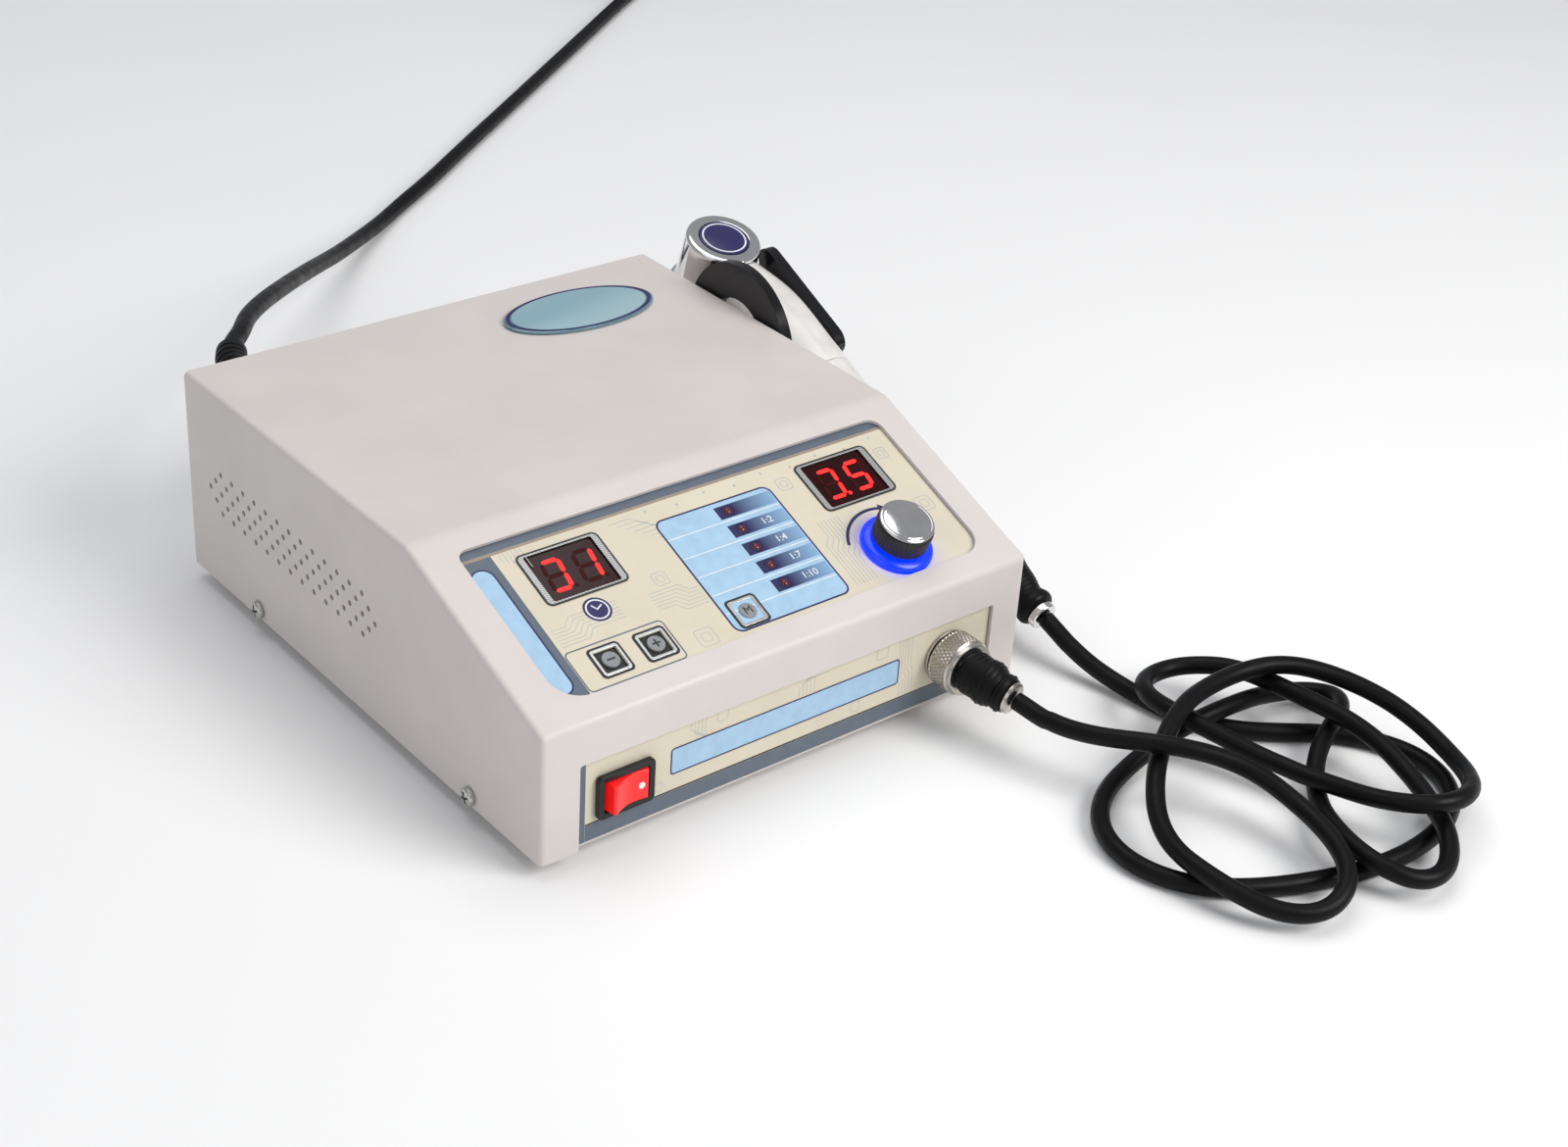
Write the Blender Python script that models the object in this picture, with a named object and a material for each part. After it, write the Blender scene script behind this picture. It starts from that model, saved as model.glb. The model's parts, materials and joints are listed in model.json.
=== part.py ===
"""Ultrasound therapy unit: a painted sheet-metal desktop case with a sloping control panel, a
handpiece resting in a cradle on its right-hand side, the handpiece's cable and the mains cord.

+X is the operator's right, +Y the back, +Z up. Sizes below are in millimetres, measured from the
middle of the case's front face at table height. MM turns them into Blender's metres, and the datum
empty moves everything so that the origin is on the table under the middle of the unit.
"""

import math

import bmesh
import bpy
import numpy as np
from mathutils import Matrix, Vector

MM = 0.001

# Driving dimensions of the case
WIDTH = 190.0
DEPTH = 211.0
HEIGHT = 73.0
FRONT_HEIGHT = 45.0
FOLD_DEPTH = 73.0
FOOT_HEIGHT = 5.5
SHEET = 1.2
BEND = 2.0
GAP = 0.3
UNIT_CENTRE = (20.25, 105.42)

HALF = WIDTH / 2
SLOPE_RISE = HEIGHT - FRONT_HEIGHT
SLOPE_ANGLE = math.atan2(SLOPE_RISE, FOLD_DEPTH)
SLOPE_LENGTH = math.hypot(SLOPE_RISE, FOLD_DEPTH)
CASE_TOP = FOOT_HEIGHT + HEIGHT

# Windows cut in the cover, as left, bottom, right, top
SLOPE_WINDOW = (-82.0, 8.7, 83.5, 70.4)
FRONT_WINDOW = (-81.4, -4.0, 82.2, 30.6)

# Ventilation holes: five staggered rows of round holes in each side of the cover
VENT_RADIUS = 1.05
VENT_PITCH = 7.53
VENT_ROW_PITCH = 3.7
VENT_ROWS = (13, 14, 15, 14, 13)
VENT_MIDDLE = (143.7, 36.6)

# Control panel, measured on the slope: across from the middle, up from the lower edge
FILM_DEPTH = SHEET + GAP
FILM = 0.4
PLATE_DEPTH = FILM_DEPTH + FILM + GAP
PLATE = 1.5
BOARD_DEPTH = 10.8
BOARD = 1.6
DISPLAYS = {"timer_display": (-50.4, 52.6), "intensity_display": (57.2, 52.0)}
DISPLAY_SIZE = (24.6, 18.4)
LED_COLUMN = 10.5
LED_ROWS = (54.5, 46.5, 38.5, 30.6, 22.6)
LED_RADIUS = 1.5
KEYS = {"minus_key": (-58.9, 18.0), "plus_key": (-42.5, 17.8), "mode_key": (-7.8, 17.6)}
KEY_SIZE = 7.2
KEY_TRAVEL = 0.5
KNOB = (55.5, 21.4)
KNOB_RADIUS = 9.7
KNOB_BASE = 3.9
KNOB_SIDE = 7.2
GLOW_RADIUS = 12.3
SHAFT_RADIUS = 2.8

# Lower front panel, measured from the middle and from the case's bottom edge
ROCKER = (-64.7, 16.2)
BEZEL = (20.6, 15.2)
ROCKER_SIZE = (14.4, 10.4)
ROCKER_TILT = 10.0
SOCKET = (64.0, 17.2)

# Rear panel, across from the middle and up from the table
FUSE = (20.0, 32.0)

# Screws in the sides: how far back and how high
SIDE_SCREWS = (37.5, 166.0)
SIDE_SCREW_HEIGHT = FOOT_HEIGHT + 3.6
CRADLE_SCREWS = ((142.0, 45.0), (172.0, 45.0))

# Cradle and handpiece. The handpiece lies with its cord end down and to the front.
EAR = (155.5, 65.7)
EAR_RADIUS = 28.0
EAR_HOLE = 15.0
CRADLE_WALL = 4.0
TROUGH_RADIUS = 16.2
TROUGH_WALL = 3.8
JAW_WALL = 4.1
HANDPIECE_END = (117.5, 9.0, 14.5)
HANDPIECE_PITCH = math.radians(17.0)
HEAD_TOP = (117.5, 192.7, 86.3)
HEAD_TILT = math.radians(17.0)
HEAD_RADIUS = 14.4
HEAD_RIM = 16.4

# Cords
CABLE = 6.2
MAINS = 6.8
COIL_RADIUS = 37.5
COIL_CENTRE = (422.2, 713.1)
COIL_HEIGHT = 20.4
HUMP_RISE = 4.5
HUMP_LENGTH = 15.0

# Route of the handpiece's cable, from the handpiece to the plug on the front panel. The height is
# that of the cord's middle where nothing lies under it.
CABLE_ROUTE = [
    (117.5, 8.3, 14.3), (117.4, 2.3, 12.3), (117.9, -6.0, 8.9), (119.4, -17.0, 5.2),
    (122.5, -28.0, 3.4), (125.0, -42.0, 3.3), (129.0, -56.0, 3.3), (137.0, -67.0, 3.3),
    (152.0, -77.0, 3.3), (166.0, -91.0, 3.3), (173.5, -106.0, 3.3), (171.0, -122.0, 3.3),
    (159.0, -134.0, 3.3), (142.0, -139.5, 3.3), (122.0, -140.5, 3.3), (101.0, -136.0, 3.3),
    (79.0, -127.0, 3.3), (61.0, -113.0, 3.3), (54.5, -96.0, 3.3), (58.0, -80.0, 3.3),
    (72.0, -66.5, 3.3), (92.0, -59.5, 3.3), (113.0, -58.0, 3.3), (135.0, -60.5, 3.3),
    (153.0, -59.0, 3.3), (168.0, -60.0, 3.3), (175.5, -71.5, 3.3), (165.5, -83.0, 3.3),
    (148.0, -88.5, 3.3), (135.0, -98.0, 3.3), (123.0, -111.5, 3.3), (112.0, -128.0, 3.3),
    (108.5, -143.5, 3.3), (113.5, -155.0, 3.3), (126.5, -157.5, 3.3), (137.0, -149.0, 3.3),
    (146.0, -135.5, 3.3), (153.5, -119.5, 3.3), (154.5, -102.5, 3.3), (152.5, -84.5, 3.3),
    (152.0, -65.5, 3.3), (148.5, -46.0, 3.3), (137.5, -33.0, 3.3), (123.0, -33.0, 3.3),
    (113.0, -44.5, 3.3), (112.5, -61.5, 3.3), (119.5, -80.5, 3.3), (126.0, -102.0, 3.3),
    (130.0, -123.5, 3.3), (136.5, -139.5, 3.3), (149.5, -143.5, 3.3), (164.5, -134.5, 3.3),
    (175.0, -117.5, 3.3), (177.5, -99.0, 3.3), (171.0, -81.5, 3.3), (158.5, -66.5, 3.3),
    (141.0, -58.5, 3.3), (122.5, -59.5, 3.3), (105.0, -64.0, 3.3), (89.5, -72.0, 3.3),
    (75.5, -83.5, 3.3), (64.5, -100.5, 3.3), (62.0, -120.0, 3.3), (69.0, -137.5, 3.3),
    (80.5, -148.5, 3.3), (93.0, -147.0, 3.3), (101.5, -135.5, 3.3), (107.0, -115.5, 3.3),
    (104.5, -98.0, 7.5), (96.0, -87.0, 12.5), (87.4, -79.2, 16.0), (80.1, -70.2, 18.0),
    (75.6, -62.6, 18.6), (72.3, -55.1, 18.8), (70.1, -47.6, 18.7), (68.8, -39.6, 18.8),
    (68.0, -32.9, 19.5), (67.2, -29.0, 20.2),
]

# Route of the mains cord, from its strain relief to the coil that takes up the rest of its length
MAINS_ROUTE = [
    (-63.3, 238.4, 66.6), (-58.9, 245.3, 66.0), (-54.0, 251.0, 65.2),
    (-43.6, 265.3, 62.6), (-29.4, 283.0, 58.0), (-9.7, 305.9, 50.2),
    (14.1, 334.1, 39.4), (41.2, 365.2, 27.2), (68.1, 393.8, 16.4), (94.4, 419.7, 8.4),
    (117.1, 439.2, 4.3), (136.3, 453.8, 3.5), (155.8, 467.2, 3.5), (191.0, 493.0, 3.5),
    (228.4, 520.5, 3.5), (270.0, 551.0, 3.5), (312.3, 582.1, 3.5), (357.0, 615.0, 3.5),
    (402.6, 648.2, 3.5), (426.5, 665.6, 3.5),
]
RELIEF_PATH = [
    (-72.0, 211.3, 66.8), (-71.6, 216.0, 67.0), (-70.4, 221.5, 67.0), (-68.6, 227.5, 66.9),
    (-66.2, 233.0, 66.8), (-63.6, 237.8, 66.6),
]
PLUG_BOOT = [
    ((0.0, 0.0, 10.9), 7.2), ((0.0, 0.0, 12.6), 7.6), ((0.3, -0.2, 16.0), 7.4), ((0.8, -0.6, 18.5), 8.0),
    ((1.2, -1.0, 20.6), 7.5), ((1.7, -1.4, 22.6), 6.3), ((2.2, -1.8, 24.6), 6.8), ((2.6, -2.1, 26.4), 6.2),
]


def finish_material(name, colour, roughness, metallic=0.0):
    material = bpy.data.materials.new(name)
    material.use_nodes = True
    shader = material.node_tree.nodes["Principled BSDF"]
    shader.inputs["Base Color"].default_value = (*colour, 1.0)
    shader.inputs["Roughness"].default_value = roughness
    shader.inputs["Metallic"].default_value = metallic
    return material


def frame(name, origin, x_axis, y_axis, parent=None):
    """An empty at a point given in case millimetres, with its local X and Y along the axes given."""
    empty = bpy.data.objects.new(name, None)
    bpy.context.scene.collection.objects.link(empty)
    x, y = Vector(x_axis).normalized(), Vector(y_axis).normalized()
    axes = Matrix((x, y, x.cross(y))).transposed()
    empty.matrix_local = Matrix.Translation(Vector(origin) * MM) @ axes.to_4x4()
    empty.parent = parent
    return empty


def node(name, bm, material, parent, at=(0, 0, 0), smooth=True):
    """One named piece from a bmesh in millimetres, placed in its parent's frame."""
    bmesh.ops.recalc_face_normals(bm, faces=bm.faces)
    mesh = bpy.data.meshes.new(name)
    bm.to_mesh(mesh)
    bm.free()
    mesh.transform(Matrix.Scale(MM, 4))
    mesh.materials.append(material)
    if smooth:
        mesh.shade_smooth()
        mesh.set_sharp_from_angle(angle=math.radians(32))
    obj = bpy.data.objects.new(name, mesh)
    bpy.context.scene.collection.objects.link(obj)
    obj.parent = parent
    obj.location = Vector(at) * MM
    return obj


def combine(obj, other, operation):
    """A Boolean with a helper object, which stays hidden."""
    other.hide_render = True
    other.display_type = "WIRE"
    modifier = obj.modifiers.new(operation.lower() + "_" + other.name, "BOOLEAN")
    modifier.operation = operation
    modifier.object = other
    modifier.solver = "EXACT"


def helper(bm, parent, at=(0, 0, 0)):
    return node("helper", bm, None, parent, at, smooth=False)


def cut(obj, bm, at=(0, 0, 0)):
    combine(obj, helper(bm, obj.parent, at), "DIFFERENCE")


def join(obj, bm, at=(0, 0, 0)):
    combine(obj, helper(bm, obj.parent, at), "UNION")


def prism(outline, low, high, axis="Z"):
    """Outline extruded along a local axis. Along X its points are (y, z), along Y they are (x, z)."""
    place = {
        "X": lambda a, b, c: (c, a, b),
        "Y": lambda a, b, c: (a, c, b),
        "Z": lambda a, b, c: (a, b, c),
    }[axis]
    bm = bmesh.new()
    face = bm.faces.new([bm.verts.new(place(a, b, low)) for a, b in outline])
    moved = bmesh.ops.extrude_face_region(bm, geom=[face])["geom"]
    top = [v for v in moved if isinstance(v, bmesh.types.BMVert)]
    bmesh.ops.translate(bm, verts=top, vec=place(0, 0, high - low))
    return bm


def block(size, centre=(0, 0, 0), bevel=0.0):
    bm = bmesh.new()
    scale = Matrix.Diagonal((*size, 1.0))
    bmesh.ops.create_cube(bm, size=1.0, matrix=Matrix.Translation(centre) @ scale)
    if bevel:
        bmesh.ops.bevel(bm, geom=bm.edges[:], offset=bevel, segments=1, affect="EDGES")
    return bm


def circle(radius, steps, centre=(0.0, 0.0), start=0.0):
    turns = [start + 2 * math.pi * i / steps for i in range(steps)]
    return [(centre[0] + radius * math.cos(a), centre[1] + radius * math.sin(a)) for a in turns]


def rounded(left, low, right, high, radii, steps=4):
    """Rectangle with rounded corners: radii are lower left, lower right, upper right, upper left."""
    corners = [(left, low, 180), (right, low, 270), (right, high, 0), (left, high, 90)]
    points = []
    for (x, y, start), radius in zip(corners, radii):
        inward = (radius if x == left else -radius, radius if y == low else -radius)
        for i in range(steps + 1):
            a = math.radians(start + 90 * i / steps)
            points.append((x + inward[0] + radius * math.cos(a), y + inward[1] + radius * math.sin(a)))
    return points


def turned(profile, steps=24):
    """Solid of revolution about local Z from (radius, height) points, bottom to top. A profile that
    starts and ends off the axis closes on itself, as a ring."""
    bm = bmesh.new()
    rings = []
    for radius, height in profile:
        if radius < 1e-6:
            rings.append([bm.verts.new((0, 0, height))])
        else:
            rings.append([bm.verts.new((x, y, height)) for x, y in circle(radius, steps)])
    pairs = list(zip(rings, rings[1:]))
    if len(rings[0]) > 1 and len(rings[-1]) > 1:
        pairs.append((rings[-1], rings[0]))
    for one, two in pairs:
        if len(one) + len(two) == 2:
            continue
        for i in range(steps):
            j = (i + 1) % steps
            corners = [one[i % len(one)], one[j % len(one)], two[j % len(two)], two[i % len(two)]]
            bm.faces.new(list(dict.fromkeys(corners)))
    return bm


def swept(path, radii, steps=12):
    """Round bar through the points of a path, with its own radius at each and flat ends."""
    bm = bmesh.new()
    points = [Vector(p) for p in path]
    rings = []
    for i, (point, radius) in enumerate(zip(points, radii)):
        along = (points[min(i + 1, len(points) - 1)] - points[max(i - 1, 0)]).normalized()
        side = along.cross(Vector((0, 0, 1))).normalized()
        up = side.cross(along)
        spots = [point + side * x + up * y for x, y in circle(radius, steps)]
        rings.append([bm.verts.new(spot) for spot in spots])
    for one, two in zip(rings, rings[1:]):
        for i in range(steps):
            j = (i + 1) % steps
            bm.faces.new((one[i], one[j], two[j], two[i]))
    bm.faces.new(rings[0])
    bm.faces.new(rings[-1])
    return bm


def evenly(points, step):
    """Points along a polyline, the given step apart, its two ends included."""
    points = np.asarray(points)
    run = np.concatenate([[0.0], np.cumsum(np.linalg.norm(np.diff(points, axis=0), axis=1))])
    stops = np.linspace(0, run[-1], round(run[-1] / step) + 1)
    return np.stack([np.interp(stops, run, points[:, k]) for k in range(3)], axis=1)


def smooth_path(points, step):
    """Points a step apart on the natural cubic spline through the given points."""
    p = np.array(points, float)
    t = np.concatenate([[0.0], np.cumsum(np.linalg.norm(np.diff(p, axis=0), axis=1))])
    h = np.diff(t)
    n = len(p)
    matrix, rhs = np.eye(n), np.zeros((n, 3))
    for i in range(1, n - 1):
        matrix[i, i - 1 : i + 2] = h[i - 1], 2 * (h[i - 1] + h[i]), h[i]
        rhs[i] = 6 * ((p[i + 1] - p[i]) / h[i] - (p[i] - p[i - 1]) / h[i - 1])
    bend = np.linalg.solve(matrix, rhs)
    fine = []
    for i in range(n - 1):
        for b in np.linspace(0, 1, 12, endpoint=False):
            a = 1 - b
            curve = (a**3 - a) * bend[i] + (b**3 - b) * bend[i + 1]
            fine.append(a * p[i] + b * p[i + 1] + curve * h[i] ** 2 / 6)
    return evenly([*fine, p[-1]], step)


def relaxed(path, reach=16):
    """The path smoothed over a short reach, as a springy cord lies, with its ends left in place."""
    window = np.concatenate([np.arange(1, reach + 1), np.arange(reach - 1, 0, -1)]) / reach**2

    def once(p):
        padded = np.pad(p, ((reach - 1, reach - 1), (0, 0)), "edge")
        return np.stack([np.convolve(padded[:, k], window, "valid") for k in range(3)], axis=1)

    smooth = once(path)
    smooth = 2 * smooth - once(smooth)
    near_end = np.minimum(np.arange(len(path)), np.arange(len(path))[::-1])
    share = np.clip((near_end - 3) / reach, 0, 1)[:, None]
    return path * (1 - share) + smooth * share


def laid_over(path, spacing, lowest):
    """The path lifted in long low humps where it crosses a stretch of itself that was laid before."""
    out = path.copy()
    step = np.linalg.norm(path[1] - path[0])
    places = np.arange(len(path)) * step
    apart = int(3 * spacing / step)
    for i in list(range(apart, len(path))) * 3:
        reach = np.linalg.norm(path[: i - apart + 1, :2] - path[i, :2], axis=1)
        near = np.nonzero(reach < spacing)[0]
        if len(near) == 0:
            continue
        need = (out[near, 2] + np.sqrt(spacing**2 - reach[near] ** 2)).max()
        if need > out[i, 2]:
            hump = need - HUMP_RISE * (np.hypot(1, (places - places[i]) / HUMP_LENGTH) - 1)
            out[:, 2] = np.maximum(out[:, 2], hump)
    rounded_off = np.convolve(np.pad(out[:, 2], 7, "edge"), np.ones(15) / 15, "valid")
    out[7:-7, 2] = rounded_off[7:-7]
    out[:, 2] = np.maximum(out[:, 2], lowest)
    return out


def cord(name, path, diameter, material, parent):
    """Plain round cord along the path's points."""
    curve = bpy.data.curves.new(name, "CURVE")
    curve.dimensions = "3D"
    curve.bevel_depth = diameter / 2 * MM
    curve.bevel_resolution = 2
    curve.use_fill_caps = True
    spline = curve.splines.new("POLY")
    spline.points.add(len(path) - 1)
    for spot, point in zip(spline.points, path):
        spot.co = (*(Vector(point) * MM), 1.0)
    curve.materials.append(material)
    obj = bpy.data.objects.new(name, curve)
    bpy.context.scene.collection.objects.link(obj)
    obj.parent = parent
    return obj


def case_outline(inset=0.0, rear=0.0, below=0.0):
    """Side view of the case as (y, z), moved inwards by inset and run past its open edges."""
    shift = inset * math.tan((math.pi / 2 - SLOPE_ANGLE) / 2)
    fold = inset * math.tan(SLOPE_ANGLE / 2)
    return [
        (inset, FOOT_HEIGHT - below),
        (inset, FOOT_HEIGHT + FRONT_HEIGHT - shift),
        (FOLD_DEPTH + fold, CASE_TOP - inset),
        (DEPTH + rear, CASE_TOP - inset),
        (DEPTH + rear, FOOT_HEIGHT - below),
    ]


def bent_shell(half_width, outline, radius, segments):
    """Outline extruded across the case, with its folded edges rounded."""
    bm = prism(outline, -half_width, half_width, "X")
    folds = set(outline[1:3])
    front = set(outline[0:4])

    def is_fold(edge):
        spots = [(v.co.y, v.co.z) for v in edge.verts]
        across = (Vector(spots[0]) - Vector(spots[1])).length < 1e-4
        on = [any((Vector(s) - Vector(f)).length < 1e-3 for f in (folds if across else front)) for s in spots]
        return all(on)

    edges = [e for e in bm.edges if is_fold(e)]
    bmesh.ops.bevel(bm, geom=edges, offset=radius, segments=segments, affect="EDGES", profile=0.5)
    return bm


def vent_spots():
    for row, count in enumerate(VENT_ROWS):
        z = VENT_MIDDLE[1] + (row - 2) * VENT_ROW_PITCH + FOOT_HEIGHT
        for i in range(count):
            yield VENT_MIDDLE[0] + (i - (count - 1) / 2) * VENT_PITCH, z


def build_cover(paint, datum, slope, front):
    cover = node("cover", bent_shell(HALF, case_outline(), BEND, 3), paint, datum)
    window = prism(rounded(*SLOPE_WINDOW, (10, 8, 5, 4)), -8, 4)
    combine(cover, helper(window, slope), "DIFFERENCE")
    mouth = prism(rounded(*FRONT_WINDOW, (0.4, 0.4, 1, 1), 1), -8, 4)
    combine(cover, helper(mouth, front), "DIFFERENCE")
    for spot in vent_spots():
        cut(cover, prism(circle(VENT_RADIUS, 6, spot, math.pi / 6), -HALF - 2, -HALF + 8, "X"))
    for y in SIDE_SCREWS:
        for low, high in ((-HALF - 3, -HALF + 6), (HALF - 6, HALF + 3)):
            cut(cover, prism(circle(1.8, 8, (y, SIDE_SCREW_HEIGHT)), low, high, "X"))
    for spot in CRADLE_SCREWS:
        cut(cover, prism(circle(1.8, 8, spot), HALF - 6, HALF + 3, "X"))
    inside = case_outline(SHEET, rear=5, below=5)
    cut(cover, bent_shell(HALF - SHEET, inside, BEND - SHEET, 2))


def build_base(paint, rubber, datum, front):
    low, front_wall = FOOT_HEIGHT, PLATE_DEPTH
    rear, side = DEPTH - GAP, HALF - SHEET - 2 * GAP
    outline = [
        (front_wall, low), (front_wall, low + 36), (front_wall + SHEET, low + 36),
        (front_wall + SHEET, low + SHEET), (rear - SHEET, low + SHEET),
        (rear - SHEET, CASE_TOP - 2 * SHEET), (rear, CASE_TOP - 2 * SHEET), (rear, low),
    ]
    tray = node("base_tray", prism(outline, -side, side, "X"), paint, datum, smooth=False)
    for x in (-side + SHEET / 2, side - SHEET / 2):
        join(tray, block((SHEET, DEPTH - 30, 13.0), (x, DEPTH / 2, low + 6.5)))
        for y in SIDE_SCREWS:
            cut(tray, prism(circle(1.8, 8, (y, SIDE_SCREW_HEIGHT)), x - 4, x + 4, "X"))
    combine(tray, helper(block((19.4, 13.6, 12), (*ROCKER, 0)), front), "DIFFERENCE")
    combine(tray, helper(prism(circle(8.3, 20, SOCKET), -8, 8), front), "DIFFERENCE")
    cut(tray, prism(circle(5.7, 16, FUSE), rear - 5, rear + 3, "Y"))
    cut(tray, prism(circle(4.6, 16, RELIEF_PATH[0][::2]), rear - 5, rear + 3, "Y"))
    spots = [(x, DEPTH / 2 + y) for y in (-82, 82) for x in (-74, 74)]
    for i, (x, y) in enumerate(spots):
        top = FOOT_HEIGHT - GAP
        profile = [(0, 0), (6.4, 0), (7.2, 0.8), (8.0, top), (0, top)]
        node(f"rubber_foot_{i + 1}", turned(profile, 16), rubber, datum, (x, y, 0))


def pan_screw(length):
    """Pan-head screw along local -Z, with its head's underside at z = 0."""
    shank = [(0, -length), (1.4, -length + 0.6), (1.4, 0)]
    return turned([*shank, (3.1, 0), (3.1, 0.9), (2.3, 1.7), (0, 2.0)], 12)


def build_screws(steel, datum):
    for side, label in ((-1, "left"), (1, "right")):
        for y, place in zip(SIDE_SCREWS, ("front", "rear")):
            at = (side * (HALF + GAP), y, SIDE_SCREW_HEIGHT)
            spot = frame(f"case_screw_axis_{label}_{place}", at, (0, side, 0), (0, 0, 1), datum)
            node(f"case_screw_{label}_{place}", pan_screw(4.6), steel, spot)
    for i, (y, z) in enumerate(CRADLE_SCREWS):
        at = (HALF - SHEET - GAP, y, z)
        spot = frame(f"cradle_screw_axis_{i + 1}", at, (0, -1, 0), (0, 0, 1), datum)
        node(f"cradle_screw_{i + 1}", pan_screw(4.6), steel, spot)


def build_panel(film, metal, slope, front):
    outline = rounded(-86.5, 4.5, 86.5, 74.0, (2, 2, 2, 2), 2)
    sheet = node("control_overlay", prism(outline, -FILM_DEPTH - FILM, -FILM_DEPTH), film, slope)
    plate = node("control_plate", prism(outline, -PLATE_DEPTH - PLATE, -PLATE_DEPTH), metal, slope)
    w, h = DISPLAY_SIZE
    openings = [block((w + 1, h + 1, 12), (*spot, 0)) for spot in DISPLAYS.values()]
    openings += [block((KEY_SIZE + 0.8, KEY_SIZE + 0.8, 12), (*spot, 0)) for spot in KEYS.values()]
    openings += [prism(circle(LED_RADIUS + GAP, 10, (LED_COLUMN, v)), -6, 6) for v in LED_ROWS]
    openings.append(prism(circle(4.0, 16, KNOB), -6, 6))
    for opening in openings:
        hole = helper(opening, slope)
        combine(sheet, hole, "DIFFERENCE")
        combine(plate, hole, "DIFFERENCE")
    lower = rounded(-85, 1.2, 85, 33.5, (0.5, 0.5, 1, 1), 1)
    skin = node("front_overlay", prism(lower, -FILM_DEPTH - FILM, -FILM_DEPTH), film, front)
    combine(skin, helper(block((19.4, 13.6, 12), (*ROCKER, 0)), front), "DIFFERENCE")
    combine(skin, helper(prism(circle(8.3, 20, SOCKET), -8, 8), front), "DIFFERENCE")


def build_display_board(board_green, display_black, led_red, slope):
    middle = (0, 39.5, -BOARD_DEPTH - BOARD / 2)
    board = node("display_board", block((168, 60, BOARD), middle), board_green, slope)
    for u, v in KEYS.values():
        join(board, block((6, 6, 5.2), (u, v, -BOARD_DEPTH + 2.4)))
    for u in (-81, 81):
        for v in (14, 65):
            join(board, prism(circle(2.5, 6, (u, v)), -BOARD_DEPTH - 0.4, -PLATE_DEPTH - PLATE - GAP))
    for name, (u, v) in DISPLAYS.items():
        module = block((*DISPLAY_SIZE, 8.0), (0, 0, -4), 0.4)
        node(name, module, display_black, slope, (u, v, -FILM_DEPTH - FILM))
    r = LED_RADIUS
    for i, v in enumerate(LED_ROWS):
        lamp = turned([(0, -8.6), (r, -8.6), (r, 0.1), (r * 0.72, 0.9), (0, 1.3)], 12)
        node(f"mode_led_{i + 1}", lamp, led_red, slope, (LED_COLUMN, v, -FILM_DEPTH - FILM))


def build_power_electronics(board_green, alloy, iron, datum):
    low = FOOT_HEIGHT + 9.0
    main = node("main_board", block((96, 92, BOARD), (22, 142, low)), board_green, datum)
    for x in (-20, 64):
        for y in (102, 182):
            join(main, prism(circle(3.0, 6, (x, y)), FOOT_HEIGHT + SHEET + GAP, low))
    join(main, block((18, 12, 12), (48, 112, low + 6), 1.0))
    join(main, turned([(0, 0), (6, 0), (6, 22), (0, 22)], 14), (0, 120, low))
    fins = node("heat_sink", block((50, 4, 26), (30, 148, low + 14.2)), alloy, datum, smooth=False)
    for i in range(6):
        join(fins, block((2, 12, 25), (8.5 + 8.6 * i, 153, low + 14.2)))
    middle = (-56, 150, FOOT_HEIGHT + 22.0)
    core = node("mains_transformer", block((34, 46, 40), middle, 1.0), iron, datum)
    join(core, block((50, 30, 26), middle, 2.0))
    join(core, block((32, 62, 2.4), (-56, 150, FOOT_HEIGHT + SHEET + GAP + 1.2)))


def build_knob(alloy, glow, black, chrome, slope):
    base = -FILM_DEPTH
    under = -PLATE_DEPTH - PLATE - GAP
    body = node("encoder_body", block((12.4, 13.2, 6.2), (0, 0, under - 3.1)), alloy, slope, (*KNOB, 0))
    join(body, prism(circle(3.6, 12), under - 0.5, base + 1.4), (*KNOB, 0))
    cut(body, prism(circle(SHAFT_RADIUS + GAP, 24), under - 3.4, 6), (*KNOB, 0))
    r = SHAFT_RADIUS
    shaft = [(0, -5.4), (r, -5.4), (r, 7.0), (r - 0.5, 7.6), (0, 7.6)]
    node("encoder_shaft", turned(shaft, 24), alloy, slope, (*KNOB, base))
    r = GLOW_RADIUS
    ring = [(4.8, GAP), (r, GAP), (r, 1.4), (r - 1.4, 3.0), (4.8, 3.0)]
    node("glow_ring", turned(ring, 32), glow, slope, (*KNOB, base))
    r, top, bore = KNOB_RADIUS, KNOB_SIDE, SHAFT_RADIUS + 0.4
    knob = [
        (bore, 0), (r - 0.3, 0), (r, 0.4), (r - 0.3, top), (r - 1.4, top),
        (r - 1.4, top - 1.2), (0, top - 1.2), (0, 4.6), (bore, 4.6),
    ]
    node("knob_body", turned(knob, 32), black, slope, (*KNOB, base + KNOB_BASE))
    cap = [
        (0, GAP - 1.2), (r - 1.8, GAP - 1.2), (r - 1.8, GAP), (r - 0.5, GAP), (r - 0.5, 0.8),
        (r - 1.6, 1.3), (5, 1.7), (0, 1.9),
    ]
    node("knob_cap", turned(cap, 32), chrome, slope, (*KNOB, base + KNOB_BASE + top))


def build_keys(black, slope):
    for name, (u, v) in KEYS.items():
        at = (u, v, -FILM_DEPTH)
        key = node(name, block((KEY_SIZE, KEY_SIZE, 1.6), (0, 0, -1.1), 0.2), black, slope, at)
        join(key, turned([(0, -0.8), (2.9, -0.8), (2.9, 0.3), (2.5, 0.6), (0, 0.6)], 20), at)
        join(key, prism(circle(1.6, 8), -3.2, -1.0), at)


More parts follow.
